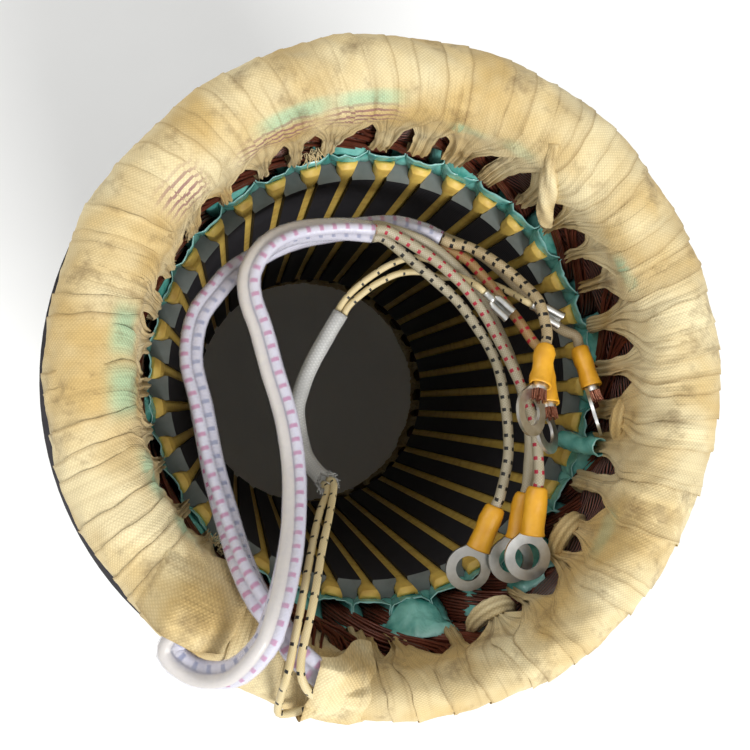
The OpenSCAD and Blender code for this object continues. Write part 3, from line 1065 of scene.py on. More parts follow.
def ring_rule() -> GeometryRule:
    """Makes the tree that repeats a piece round the axis.

    Returns:
        The rule, which crumples the loose edges of each copy in its own way.
    """
    tree, given, named = new_tree("ring_of_pieces", {
        "Count": "NodeSocketInt", "First": "NodeSocketFloat", "Step": "NodeSocketFloat",
        "Crumple": "NodeSocketFloat", "Grain": "NodeSocketFloat", "Finish": "NodeSocketMaterial",
    })
    spots = put(tree, "GeometryNodePoints", {"Count": given.outputs["Count"]})
    number = put(tree, "GeometryNodeInputIndex").outputs[0]
    turn = put(
        tree, "ShaderNodeMath", {0: number, 1: given.outputs["Step"], 2: given.outputs["First"]},
        operation="MULTIPLY_ADD",
    ).outputs[0]
    axis = put(tree, "ShaderNodeCombineXYZ", {"Z": turn}).outputs[0]
    copies = put(tree, "GeometryNodeInstanceOnPoints", {
        "Points": spots.outputs[0], "Instance": given.outputs["Geometry"], "Rotation": axis,
    })
    real = put(tree, "GeometryNodeRealizeInstances", {0: copies.outputs[0]})
    place = put(tree, "GeometryNodeInputPosition").outputs[0]
    noise = put(tree, "ShaderNodeTexNoise", {
        "Vector": place, "Scale": given.outputs["Grain"], "Detail": 2.0, "Distortion": 0.4,
    }).outputs["Color"]
    centred = put(
        tree, "ShaderNodeVectorMath", {0: noise, 1: (0.5, 0.5, 0.5)}, operation="SUBTRACT",
    ).outputs[0]
    loose = put(tree, "GeometryNodeInputNamedAttribute", {"Name": "loose"}, data_type="FLOAT").outputs[0]
    amount = put(
        tree, "ShaderNodeMath", {0: loose, 1: given.outputs["Crumple"]}, operation="MULTIPLY",
    ).outputs[0]
    shift = put(tree, "ShaderNodeVectorMath", {0: centred, "Scale": amount}, operation="SCALE").outputs[0]
    moved = put(tree, "GeometryNodeSetPosition", {"Geometry": real.outputs[0], "Offset": shift})
    dressed = put(tree, "GeometryNodeSetMaterial", {
        "Geometry": moved.outputs[0], "Material": given.outputs["Finish"],
    })
    put(tree, "NodeGroupOutput", {0: dressed.outputs[0]})
    return GeometryRule(tree, named)


def strand_rule() -> GeometryRule:
    """Makes the tree that draws a round wire along each line of a mesh.

    Returns:
        The rule.
    """
    tree, given, named = new_tree("wire_on_lines", {
        "Radius": "NodeSocketFloat", "Sides": "NodeSocketInt", "Finish": "NodeSocketMaterial",
    })
    lines = put(tree, "GeometryNodeMeshToCurve", {"Mesh": given.outputs["Geometry"]})
    section = put(tree, "GeometryNodeCurvePrimitiveCircle", {
        "Resolution": given.outputs["Sides"], "Radius": given.outputs["Radius"],
    })
    wires = put(tree, "GeometryNodeCurveToMesh", {
        "Curve": lines.outputs[0], "Profile Curve": section.outputs[0], "Fill Caps": True,
    })
    round_off = put(tree, "GeometryNodeSetShadeSmooth", {"Geometry": wires.outputs[0]})
    real = put(tree, "GeometryNodeRealizeInstances", {0: round_off.outputs[0]})
    dressed = put(tree, "GeometryNodeSetMaterial", {
        "Geometry": real.outputs[0], "Material": given.outputs["Finish"],
    })
    put(tree, "NodeGroupOutput", {0: dressed.outputs[0]})
    return GeometryRule(tree, named)


def line_object(name: str, lines: Sequence[np.ndarray]) -> Object:
    """Makes an object of open lines, in millimetres, for the wire rule.

    Args:
        name: Name of the object.
        lines: Points of each line.

    Returns:
        The object, in the scene.
    """
    edges = []
    count = 0
    for line in lines:
        edges.extend([(count + k, count + k + 1) for k in range(len(line) - 1)])
        count += len(line)
    mesh = bpy.data.meshes.new(name)
    mesh.from_pydata((np.vstack(lines) * MM).tolist(), edges, [])
    return show(bpy.data.objects.new(name, mesh))


def slot_half(x: Union[float, np.ndarray], inset: float) -> Union[float, np.ndarray]:
    """Half the width of a slot at a radius, with its walls set in."""
    half = math.radians(SIZE.half_pitch)
    return x * math.tan(half) - (SIZE.tooth_w / 2 + inset) / math.cos(half)


@dataclass
class Core:
    """The laminated core, shown as constructed."""

    node: str = "stator_core"

    def dress(self) -> None:
        """Gives the core its steel."""
        coat(self.node, STEEL)


@dataclass
class SlotInsulation:
    """Wedges, slot cuffs and phase films, repeated round both core faces."""

    rule: GeometryRule
    # How much wider a wedge gets outside the core, and how far it leans out there
    wedge_spread: float = 0.16
    wedge_lean: float = 0.5
    film_t: float = 0.35
    # Distance of a cuff's film from the slot wall, its flare, and how far its rim is pulled up
    cuff_inset: float = 0.5
    cuff_flare: float = 3.5
    cuff_pull: float = 3.6
    cuff_points: int = 44
    # Width and height of a film ear over a tooth, how far it leans out, and how deep it is cupped
    apron_w: float = 9.0
    apron_h: float = 17.0
    apron_lean: float = 8.5
    apron_cup: float = 1.6
    # Half angle and height of a phase film, how far it leans out, and how far it bulges inwards
    film_span: float = 6.6
    film_h: float = 24.0
    film_lean: float = 9.0
    film_bulge: float = 3.0
    films: int = 12

    def wedge(self) -> Object:
        """Makes a folded wedge strip at angle 0: a channel, pressed flat and wider outside the core.

        Returns:
            The pattern for the rule.
        """
        inner, outer = SIZE.wedge_in, SIZE.wedge_r
        side = np.array([
            (inner, -2.05), (inner + 1.8, -3.0), (outer, -3.12), (outer, -2.3), (inner + 1.5, -1.9),
        ])
        fold, crown = inner + 1.1, inner - 0.15
        outline = np.vstack([side, [(fold, 0.0)], side[::-1] * (1, -1), [(crown, 0.8), (crown, -0.8)]])
        steps = np.array([0.0, 0.5, 3.0, 6.0, SIZE.wedge_out + 1.0])
        low, high = SIZE.rear_z - SIZE.wedge_out, SIZE.face_z + SIZE.wedge_out
        levels = np.r_[low + steps, (high - steps)[::-1]]
        out = np.clip(np.maximum(SIZE.rear_z - levels, levels - SIZE.face_z) / SIZE.wedge_out, 0, 1)
        points = np.zeros((len(levels), len(outline), 3))
        groove = (np.abs(outline[:, 1]) < 2.0) & (outline[:, 0] > inner + 1)
        pressed = groove * (outer - 0.4 - outline[:, 0]) * ease(0.0, 0.4, out)[:, None]
        points[..., 0] = outline[:, 0] + pressed + self.wedge_lean * out[:, None] ** 2
        points[..., 1] = outline[:, 1] * (1 + self.wedge_spread * out[:, None])
        points[..., 2] = levels[:, None]
        parts = MeshParts()
        parts.grid(points, wrap=True, caps=True, loose=out[:, None] ** 2)
        return parts.make("wedge_pattern", [FIBRE])

    def cuff_outline(self) -> tuple[np.ndarray, np.ndarray]:
        """Works out the section of a slot's film tube.

        Returns:
            Evenly spaced points of the outline, and the directions out of it.
        """
        half = math.radians(SIZE.half_pitch)
        full = (SIZE.slot_r * math.sin(half) - SIZE.tooth_w / 2) / (1 + math.sin(half))
        x0, bevel_x, bevel_y = SIZE.liner_r + 0.2, 0.5, 0.4
        y0 = slot_half(x0, self.cuff_inset)
        turn = np.linspace(math.pi / 2 + half, -math.pi / 2 - half, 13)
        round_r = full - self.cuff_inset
        bottom = np.stack([SIZE.slot_r - full + round_r * np.cos(turn), round_r * np.sin(turn)], -1)
        corners = np.vstack([
            [(x0, 0.0), (x0, y0 - bevel_y), (x0 + bevel_x, y0)], bottom,
            [(x0 + bevel_x, -y0), (x0, -y0 + bevel_y), (x0, 0.0)],
        ])
        run = run_of(corners)
        even = np.linspace(0, run[-1], self.cuff_points, endpoint=False)
        line = np.stack([np.interp(even, run, corners[:, k]) for k in (0, 1)], -1)
        along = np.roll(line, -1, 0) - np.roll(line, 1, 0)
        return line, unit(np.stack([-along[:, 1], along[:, 0]], -1))

    def cuff(self, end: End) -> Object:
        """Makes the film tube that stands out of one slot at angle 0, flared over its teeth.

        Args:
            end: The end of the part.

        Returns:
            The pattern for the rule.
        """
        line, out = self.cuff_outline()
        heights = np.array([-1.0, 0.4, 1.5, 3.0, 4.5, 6.0, 7.2, SIZE.liner_out])
        share = np.clip(heights / SIZE.liner_out, 0, 1)[:, None]
        free = ease(SIZE.liner_r, SIZE.liner_r + 2.0, line[:, 0])[None, :]
        flare = self.cuff_flare * share ** 0.4 * free * (1 - 0.8 * ease(85.0, 92.0, line[:, 0]))
        points = np.zeros((len(heights), len(line), 3))
        points[..., :2] = line[None] + out[None] * flare[..., None]
        points[..., 2] = end.face + end.up * (heights[:, None] + self.cuff_pull * share ** 2)
        parts = MeshParts()
        parts.grid(
            points, wrap=True, flip=end.up > 0, loose=np.broadcast_to(share ** 2, points.shape[:2]),
        )
        return parts.make("cuff_pattern", [LINER_FILM])

    def apron(self, end: End) -> Object:
        """Makes an ear of liner film that stands up over the tooth at angle 0, between two slots.

        Args:
            end: The end of the part.

        Returns:
            The pattern for the rule.
        """
        across = np.linspace(-1, 1, 11)[None, :]
        rise = np.linspace(0, 1, 11)[:, None]
        half = self.apron_w / 2 * (1 + 0.1 * rise)
        cup = across ** 2 * (1 - rise) - np.sin(math.pi * rise) * (1 - across ** 2)
        radius = SIZE.liner_r + 1.4 + self.apron_lean * rise ** 1.2 + self.apron_cup * cup
        height = 0.4 + self.apron_h * rise - 4.0 * across ** 2 * rise
        points = np.stack([radius, half * across, end.face + end.up * height + 0 * across], -1)
        parts = MeshParts()
        parts.grid(points, flip=end.up > 0, loose=0.2 + 0.8 * rise * np.ones_like(across))
        return parts.make("apron_pattern", [LINER_FILM])

    def phase_film(self, end: End) -> Object:
        """Makes a bulging sheet of phase film over one slot at angle 0.

        Args:
            end: The end of the part.

        Returns:
            The pattern for the rule.
        """
        across = np.linspace(-1, 1, 25)[None, :]
        rise = np.linspace(0, 1, 17)[:, None]
        bulge = (1 - across ** 2) * np.sin(math.pi * (0.15 + 0.8 * rise))
        radius = SIZE.liner_r + 1.0 + self.film_lean * rise ** 1.4 - self.film_bulge * bulge
        radius = radius + 3.5 * across ** 4 * (1 - 0.6 * rise)
        angle = np.radians(self.film_span * across * (0.75 + 0.45 * rise))
        height = 1.0 + self.film_h * rise - 3.0 * across ** 2 * rise
        points = np.stack([radius * np.cos(angle), radius * np.sin(angle), end.face + end.up * height], -1)
        parts = MeshParts()
        parts.grid(points, flip=end.up > 0, loose=0.15 + 0.85 * rise * np.ones_like(across))
        return parts.make("film_pattern", [PHASE_FILM])

    def build(self) -> None:
        """Makes the wedges, cuffs and films of both ends."""
        step = math.radians(2 * SIZE.half_pitch)
        first = math.radians(SIZE.slot_phase)
        wedges = self.rule.run(
            self.wedge(), "slot_wedge_strips", Count=SIZE.slots, First=first, Step=step,
            Crumple=1.2 * MM, Grain=per_mm(8.0), Finish=FIBRE.material(),
        )
        seat(wedges, FIBRE.slot, "slot_wedges")
        cuffs = []
        for end in (FRONT, REAR):
            cuffs.append(self.rule.run(
                self.cuff(end), "cuffs", Count=SIZE.slots, First=first, Step=step,
                Crumple=4.0 * MM, Grain=per_mm(5.0), Finish=LINER_FILM.material(),
            ))
            cuffs.append(self.rule.run(
                self.apron(end), "aprons", Count=SIZE.slots, First=first + step / 2, Step=step,
                Crumple=5.0 * MM, Grain=per_mm(6.0), Finish=LINER_FILM.material(),
            ))
        seat(wall(joined("slot_liner_cuffs", cuffs), self.film_t), LINER_FILM.slot, "slot_liners")
        for end in (FRONT, REAR):
            films = self.rule.run(
                self.phase_film(end), "phase_films_" + end.name, Count=self.films, First=first,
                Step=2 * math.pi / self.films, Crumple=7.0 * MM, Grain=per_mm(7.0),
                Finish=PHASE_FILM.material(),
            )
            seat(wall(films, self.film_t), PHASE_FILM.slot, "phase_separators_" + end.name)


def inner_radius(angle: np.ndarray, hollowed: bool) -> np.ndarray:
    """Radius of a bundle's inside, with the hollow of the lead side.

    Args:
        angle: Angles round the axis in degrees.
        hollowed: Whether the bundle has the hollow.

    Returns:
        The radius at each angle in millimetres.
    """
    if not hollowed:
        return np.full(np.shape(angle), SIZE.ring_in)
    offset = SIZE.ring_in + SIZE.lead_recess - SIZE.hollow_r
    away = np.radians(angle - SIZE.recess_at)
    hollow = offset * np.cos(away) + np.sqrt(SIZE.hollow_r ** 2 - (offset * np.sin(away)) ** 2)
    return np.maximum(SIZE.ring_in, hollow)


@dataclass
class CoilWires:
    """Round magnet wires that rise from the slots of one end and lean into the bundle."""

    rule: GeometryRule
    end: End
    seed: int
    wire_d: float = 1.15
    # How far a wire leans round the axis on its way up, and how far it rises
    lean: float = 32.0
    rise: float = 50.0
    # Radius of the first row in an open slot and behind a phase film, and of the end of the rows
    open_r: float = 77.9
    behind_film_r: float = 84.5
    last_r: float = 90.5
    # Every third slot is behind a phase film
    film_step: int = 3
    # Rows filled from wall to wall, and rows that lean forwards before the rest lean back
    full_rows: int = 4
    forward_rows: int = 8
    # The rows nearest the bore bend outwards most, and those at this radius not at all
    straight_r: float = 91.5
    straight_run: float = 14.0

    def slot_lines(self, angle: float, first_r: float, rng: np.random.Generator) -> list[np.ndarray]:
        """Lays out one slot's visible wires.

        Args:
            angle: The slot's angle in degrees.
            first_r: Radius of the innermost row.
            rng: Source of small differences.

        Returns:
            Points of each wire.
        """
        share = np.linspace(0, 1, 11)
        back = float(inner_radius(np.array(angle), self.end.leads)) - SIZE.ring_in
        lines = []
        for row, x0 in enumerate(np.arange(first_r, self.last_r, self.wire_d * 1.06)):
            half = float(slot_half(x0, 1.0)) - self.wire_d / 2
            seats = np.linspace(-half, half, max(2, int(2 * half / (self.wire_d * 1.02)) + 1))
            if row >= self.full_rows:
                seats = seats[[0, 1, -2, -1]] if len(seats) > 3 else seats
            way = 1.0 if row < self.forward_rows else -1.0
            depth = (self.straight_r - x0) / self.straight_run
            outwards = depth * (back * ease(0.1, 0.6, share) + 4.0 * ease(0.55, 1.0, share))
            for y0 in seats:
                wander = rng.normal(0, 0.25, 2)
                bend = ease(0.08, 0.8, share) * self.lean * way * (1 + 0.04 * rng.normal())
                x = x0 + outwards - 0.8 * np.sin(math.pi * share)
                y = y0 * (1 + 0.7 * np.sin(math.pi * share * 0.8)) + bend + wander[1] * share
                z = self.end.face + self.end.up * (self.rise * share - 2.0)
                turn = np.radians(angle) + y / x
                lines.append(np.stack([x * np.cos(turn), x * np.sin(turn), z], -1))
        return lines

    def build(self) -> Object:
        """Makes the wires of every slot.

        Returns:
            The wires.
        """
        rng = np.random.default_rng(self.seed)
        name = "coil_wires_" + self.end.name
        lines = []
        for number in range(SIZE.slots):
            first_r = self.open_r if number % self.film_step else self.behind_film_r
            lines.extend(self.slot_lines(SIZE.slot_phase + 2 * SIZE.half_pitch * number, first_r, rng))
        return self.rule.run(
            line_object(name + "_lines", lines), name, Radius=self.wire_d / 2 * MM, Sides=5,
            Finish=COPPER.material(),
        )


@dataclass(frozen=True)
class Patch:
    """A place on the tape, by angle and share of the way round the section, with its half widths."""

    angle: float
    share: float
    wide: float
    tall: float

    def strength(self, angle: np.ndarray, share: np.ndarray) -> np.ndarray:
        """Returns how much of the patch lies at each place, from 0 to 1."""
        turn = (angle - self.angle + 180) % 360 - 180
        return np.exp(-((turn / self.wide) ** 4) - ((share - self.share) / self.tall) ** 4)


FILM_PATCHES = (
    Patch(114, 0.43, 8, 0.022), Patch(98, 0.43, 7, 0.02), Patch(74, 0.36, 4, 0.02),
    Patch(62, 0.37, 4, 0.025), Patch(172, 0.42, 5, 0.04), Patch(184, 0.41, 5, 0.05),
    Patch(202, 0.37, 5, 0.04), Patch(216, 0.35, 4, 0.04), Patch(24, 0.38, 4, 0.02), Patch(-38, 0.36, 5, 0.03),
)
TRACER_PATCHES = (Patch(119, 0.38, 9, 0.04), Patch(99, 0.375, 8, 0.04), Patch(142, 0.43, 5, 0.05))


@dataclass
class TapedWinding:
    """One end winding: woven tape lapped round the bundle and gathered between the coils."""

    end: End
    seed: int
    turns: int = 74
    tape_w: float = 19.0
    # Length of one turn, and the height of the step from lap to lap
    round_mm: float = 126.0
    lap: float = 0.9
    # How far the tape and the ring of wires lie inside the construction's section
    sink: float = 1.6
    bulk_in: float = 4.2
    # How far turns are drawn to the gaps between the coils, how much narrower they get there, and its spread
    pull: float = 0.97
    pinch: float = 0.74
    uneven: float = 0.1
    # The laps hang a little straighter on the inside than the bundle under them is round, and end higher
    hem_r: float = 4.0
    hem_up: float = 2.5

    @property
    def name(self) -> str:
        """Name of the tape."""
        return "tape_" + self.end.name

    def outline(self) -> tuple[np.ndarray, ...]:
        """Works out the section of the tape from its underside up the inside.

        The inside wall ends at a share of about 0.35, the top at 0.68 and the outside wall at 0.84.

        Returns:
            Share of the way round, radius, height, and the two parts of the direction out of it.
        """
        size = (SIZE.ring_out - SIZE.ring_in) / 2
        turn = np.linspace(0, 2 * math.pi, 241)
        out_r, out_h = -np.sin(turn), -np.cos(turn)
        corner = np.where((out_h < 0) & (out_r < 0), self.hem_r, size)
        level = np.where(out_h > 0, SIZE.end_h - 0.6 - size, SIZE.bundle_base + corner)
        middle = np.where(out_r < 0, SIZE.ring_in + corner, SIZE.ring_out - size)
        radius = middle + corner * out_r
        height = level + corner * out_h
        run = run_of(np.stack([radius, height], -1))
        return run / run[-1], radius, height, out_r, out_h

    def room(self, angle: np.ndarray) -> np.ndarray:
        """Returns the share of its full width that the bundle has at each angle."""
        width = SIZE.ring_out - inner_radius(angle, self.end.leads)
        return width / (SIZE.ring_out - SIZE.ring_in)

    def surface(self, share: np.ndarray, angle: np.ndarray, lift: np.ndarray) -> np.ndarray:
        """Works out points on the bundle, with the rear one flattened where it stands.

        Args:
            share: Share of the way round the section.
            angle: Angle round the axis in degrees.
            lift: Height over the bundle in millimetres.

        Returns:
            Points of the part.
        """
        known, radius, height, out_r, out_h = self.outline()
        base, level = np.interp(share, known, radius), np.interp(share, known, height)
        side, rise = np.interp(share, known, out_r), np.interp(share, known, out_h)
        r = SIZE.ring_out - (SIZE.ring_out - base) * self.room(angle) + lift * side
        h = level + lift * rise
        if self.end is REAR:
            h = np.minimum(h, SIZE.end_h - 0.05)
        turn = np.radians(angle)
        return np.stack([r * np.cos(turn), r * np.sin(turn), self.end.face + self.end.up * h], -1)

    def marks(self, angle: np.ndarray, share: np.ndarray, thin: bool) -> tuple[np.ndarray, np.ndarray]:
        """Works out the strength of the film and of the tracer rows that show through the tape.

        Args:
            angle: Angle round the axis in degrees.
            share: Share of the way round the section.
            thin: Whether this turn of tape is thin enough to show them well.

        Returns:
            Film and tracer at each point, from 0 to 1.
        """
        film = np.zeros(np.broadcast(angle, share).shape)
        tracer = film.copy()
        if self.end.leads:
            for patch in FILM_PATCHES:
                film = np.maximum(film, patch.strength(angle, share))
            for patch in TRACER_PATCHES:
                tracer = np.maximum(tracer, patch.strength(angle, share))
        return film * (0.6 if thin else 0.25), tracer

    def relief(
        self, share: np.ndarray, across: np.ndarray, angle: np.ndarray, wander: int, rng: np.random.Generator,
    ) -> np.ndarray:
        """Works out the height of a turn of tape over the bundle: the step of its lap, and its folds.

        Args:
            share: Share of the way round the section.
            across: Share of the tape's width.
            angle: Angle round the axis in degrees.
            wander: Chooses the waves of its edge.
            rng: Source of small differences.

        Returns:
            The height in millimetres.
        """
        fan = 1 - ease(0.12, 0.4, share)
        edge = np.exp(-(across / 0.07) ** 2)
        step = self.lap * (1 - 0.55 * ease(0.55, 0.7, share)) * (0.75 - 0.3 * np.sin(np.radians(angle - 60)))
        lift = -self.sink + step * (1 - across)
        lift = lift + 0.25 * edge * (0.7 + 0.5 * ripple(wander + 1, share * 2 + 0 * across))
        lift = lift + 0.65 * fan * np.sin(2 * math.pi * (2.2 * across + rng.uniform(0, 1)))
        for middle in rng.uniform(0.15, 0.85, 2):
            fold = across - middle - 0.3 * (share - 0.4)
            lift = lift + rng.uniform(0.15, 0.6) * np.exp(-(fold / 0.06) ** 2) * (1 - ease(0.46, 0.6, share))
        return lift + 0.2 * ripple(7, angle / 9, share * 9) + 0.7 * ripple(8, angle / 40, share * 2.5)

    def strip(
        self, parts: MeshParts, start: float, gather: np.ndarray, dip: np.ndarray, rng: np.random.Generator,
    ) -> None:
        """Adds one turn of tape.

        Args:
            parts: The mesh that gets the turn.
            start: Angle of the turn's middle on the crest.
            gather: Angles between the coils, where turns are drawn together.
            dip: How far each gather hangs down.
            rng: Source of small differences.
        """
        pitch = 360 / self.turns
        share = np.linspace(0, 1, 82)[:, None]
        across = np.r_[0, 0.02, 0.05, np.linspace(0.1, 1, 12)][None, :]
        nearest = int(np.argmin(np.abs((gather - start + 180) % 360 - 180)))
        goal = start + (gather[nearest] - start + 180) % 360 - 180
        drawn = self.pull * np.maximum(1 - ease(0.15, 0.46, share), 0.8 * ease(0.84, 0.99, share))
        low = 0.16 + 0.018 * dip[nearest]
        pinch = self.pinch + self.uneven * math.sin(7 * nearest)
        narrow = 1 - pinch * np.maximum(1 - ease(low + 0.05, low + 0.2, share), 0.5 * ease(0.9, 0.99, share))
        slant = rng.normal(0, 1.2) * np.sin(math.pi * share) + pitch * (share - 0.5)
        centre = start + slant + drawn * (goal - start - slant)
        known, radius = self.outline()[:2]
        width = np.degrees(self.tape_w * narrow / np.interp(share, known, radius))
        wander = int(rng.integers(1000))
        fringe = 0.35 * ripple(wander, share * 3 + 0 * across, across * 0.7)
        angle = centre + (across - 0.5) * width + fringe * (np.abs(across - 0.5) > 0.4)
        fan = 1 - ease(0.12, 0.4, share)
        lift = self.relief(share, across, angle, wander, rng) + 0.6 * fan * (start > goal)
        points = self.surface(share + 0 * across, angle, lift)
        hang = (dip[nearest] - self.hem_up) * (1 - ease(0.1, 0.24, share)) * (1 - ease(0.9, 1.0, share))
        points[..., 2] -= self.end.up * hang
        # Soil and painted shade: a random tone for each turn, with painted shade in the gathers and along the
        # lap edge
        tone = 0.2 * rng.uniform() + 0.1 * fan + 0.5 * np.exp(-(across / 0.03) ** 2) * rng.uniform(0.2, 1)
        folded = (0.25 + 0.75 * (1 - ease(0.3, 0.62, share))) * rng.uniform(0.5, 1.0)
        film, tracer = self.marks(angle, share, rng.uniform() > 0.35)
        # The coordinates run on from turn to turn, as on one long tape
        along = (share[:, 0] + (start + 180) * self.turns / 360) * self.round_mm * MM
        v, u = np.meshgrid(along, across[0] * self.tape_w * MM, indexing="ij")
        parts.grid(
            points, np.stack([u, v], -1), flip=self.end.up > 0, soil=np.clip(tone, 0, 1), film=film,
            tracer=tracer, drawn=folded,
        )

    def build(self) -> Object:
        """Makes the tape of the whole winding.

        Returns:
            The tape.
        """
        rng = np.random.default_rng(self.seed)
        gather = SIZE.slot_phase + SIZE.half_pitch + 2 * SIZE.half_pitch * np.arange(SIZE.slots)
        gather = gather + rng.uniform(-1.8, 1.8, SIZE.slots)
        dip = rng.uniform(0.0, 4.0, SIZE.slots)
        parts = MeshParts()
        for number in range(self.turns):
            start = (number + rng.uniform(-0.4, 0.4)) * 360 / self.turns - 180
            self.strip(parts, start, gather, dip, rng)
        return parts.make(self.name, [TAPE])

    def bulk(self) -> Object:
        """Makes the wires under the tape, as one dark ring.

        Returns:
            The ring.
        """
        step, sides = 3.0, 32
        share = np.linspace(0, 1, sides + 1)[:-1][None, :]
        angle = np.arange(0, 360, step)[:, None]
        lift = -self.bulk_in + 0.6 * ripple(3, share * 8, angle / 12)
        points = self.surface(share + 0 * angle, angle + 0 * share, lift)
        parts = MeshParts()
        u, v = np.meshgrid(
            np.radians(np.arange(0, 360 + step, step)) * SIZE.ring_in * MM,
            np.linspace(0, self.round_mm, sides + 1) * MM, indexing="ij",
        )
        parts.grid(points, np.stack([u, v], -1), wrap=True, loop=True, flip=self.end.up < 0)
        return parts.make(self.name + "_bulk", [BUNDLE])

    def dress(self, wires: Object, wire_node: Optional[str]) -> None:
        """Seats the tape, the ring of wires under it and the wires below it.

        Args:
            wires: The wires between the slots and the bundle.
            wire_node: The construction node that they stand for, if any.
        """
        tape = self.build()
        seat(tape, TAPE.slot, "end_winding_" + self.end.name)
        seat(self.bulk(), BUNDLE.slot)
        seat(wires, COPPER.slot, *([wire_node] if wire_node else []))
        self.name + "_bulk"


def polar(radius: float, angle: float, height: float) -> np.ndarray:
    """Returns the point at a radius, an angle in degrees and a height over the front core face."""
    turn = math.radians(angle)
    return np.array([radius * math.cos(turn), radius * math.sin(turn), SIZE.face_z + height])


@dataclass(frozen=True)
class Lap:
    """A lap of tape over the first ends of cords."""

    # Middle of its free edge, which way it runs from there, and half its length
    at: tuple[float, float]
    turn: float
    half_l: float
    # Routes of the cords, with their radii
    cords: tuple[tuple[Route, float], ...]


LAPS = (
    Lap((-62.0, -68.5), 60.0, 14.0, ((SLEEVE_A, SIZE.sleeve_d / 2),)),
    Lap(
        (-28.5, -84.6), -17.0, 10.5,
        (
            (SLEEVE_B, SIZE.sleeve_d / 2), (SENSOR_TAIL_1, SIZE.sensor_d / 2),
            (SENSOR_TAIL_2, SIZE.sensor_d / 2),
        ),
    ),
)


def crest(points: np.ndarray) -> np.ndarray:
    """Works out the top of the front bundle, falling steeply beside it.

    Args:
        points: Points of the plan.

    Returns:
        The height at each point in millimetres.
    """
    steep = 4
    radius = np.hypot(points[..., 0], points[..., 1])
    angle = np.degrees(np.arctan2(points[..., 1], points[..., 0]))
    size = (SIZE.ring_out - SIZE.ring_in) / 2
    room = (SIZE.ring_out - inner_radius(angle, True)) / (2 * size)
    out = 1 - (SIZE.ring_out - radius) / (room * size)
    beside = size * room * np.maximum(np.abs(out) - 1, 0)
    return SIZE.face_z + SIZE.end_h - size + size * np.sqrt(1 - np.minimum(out ** 2, 1)) - steep * beside


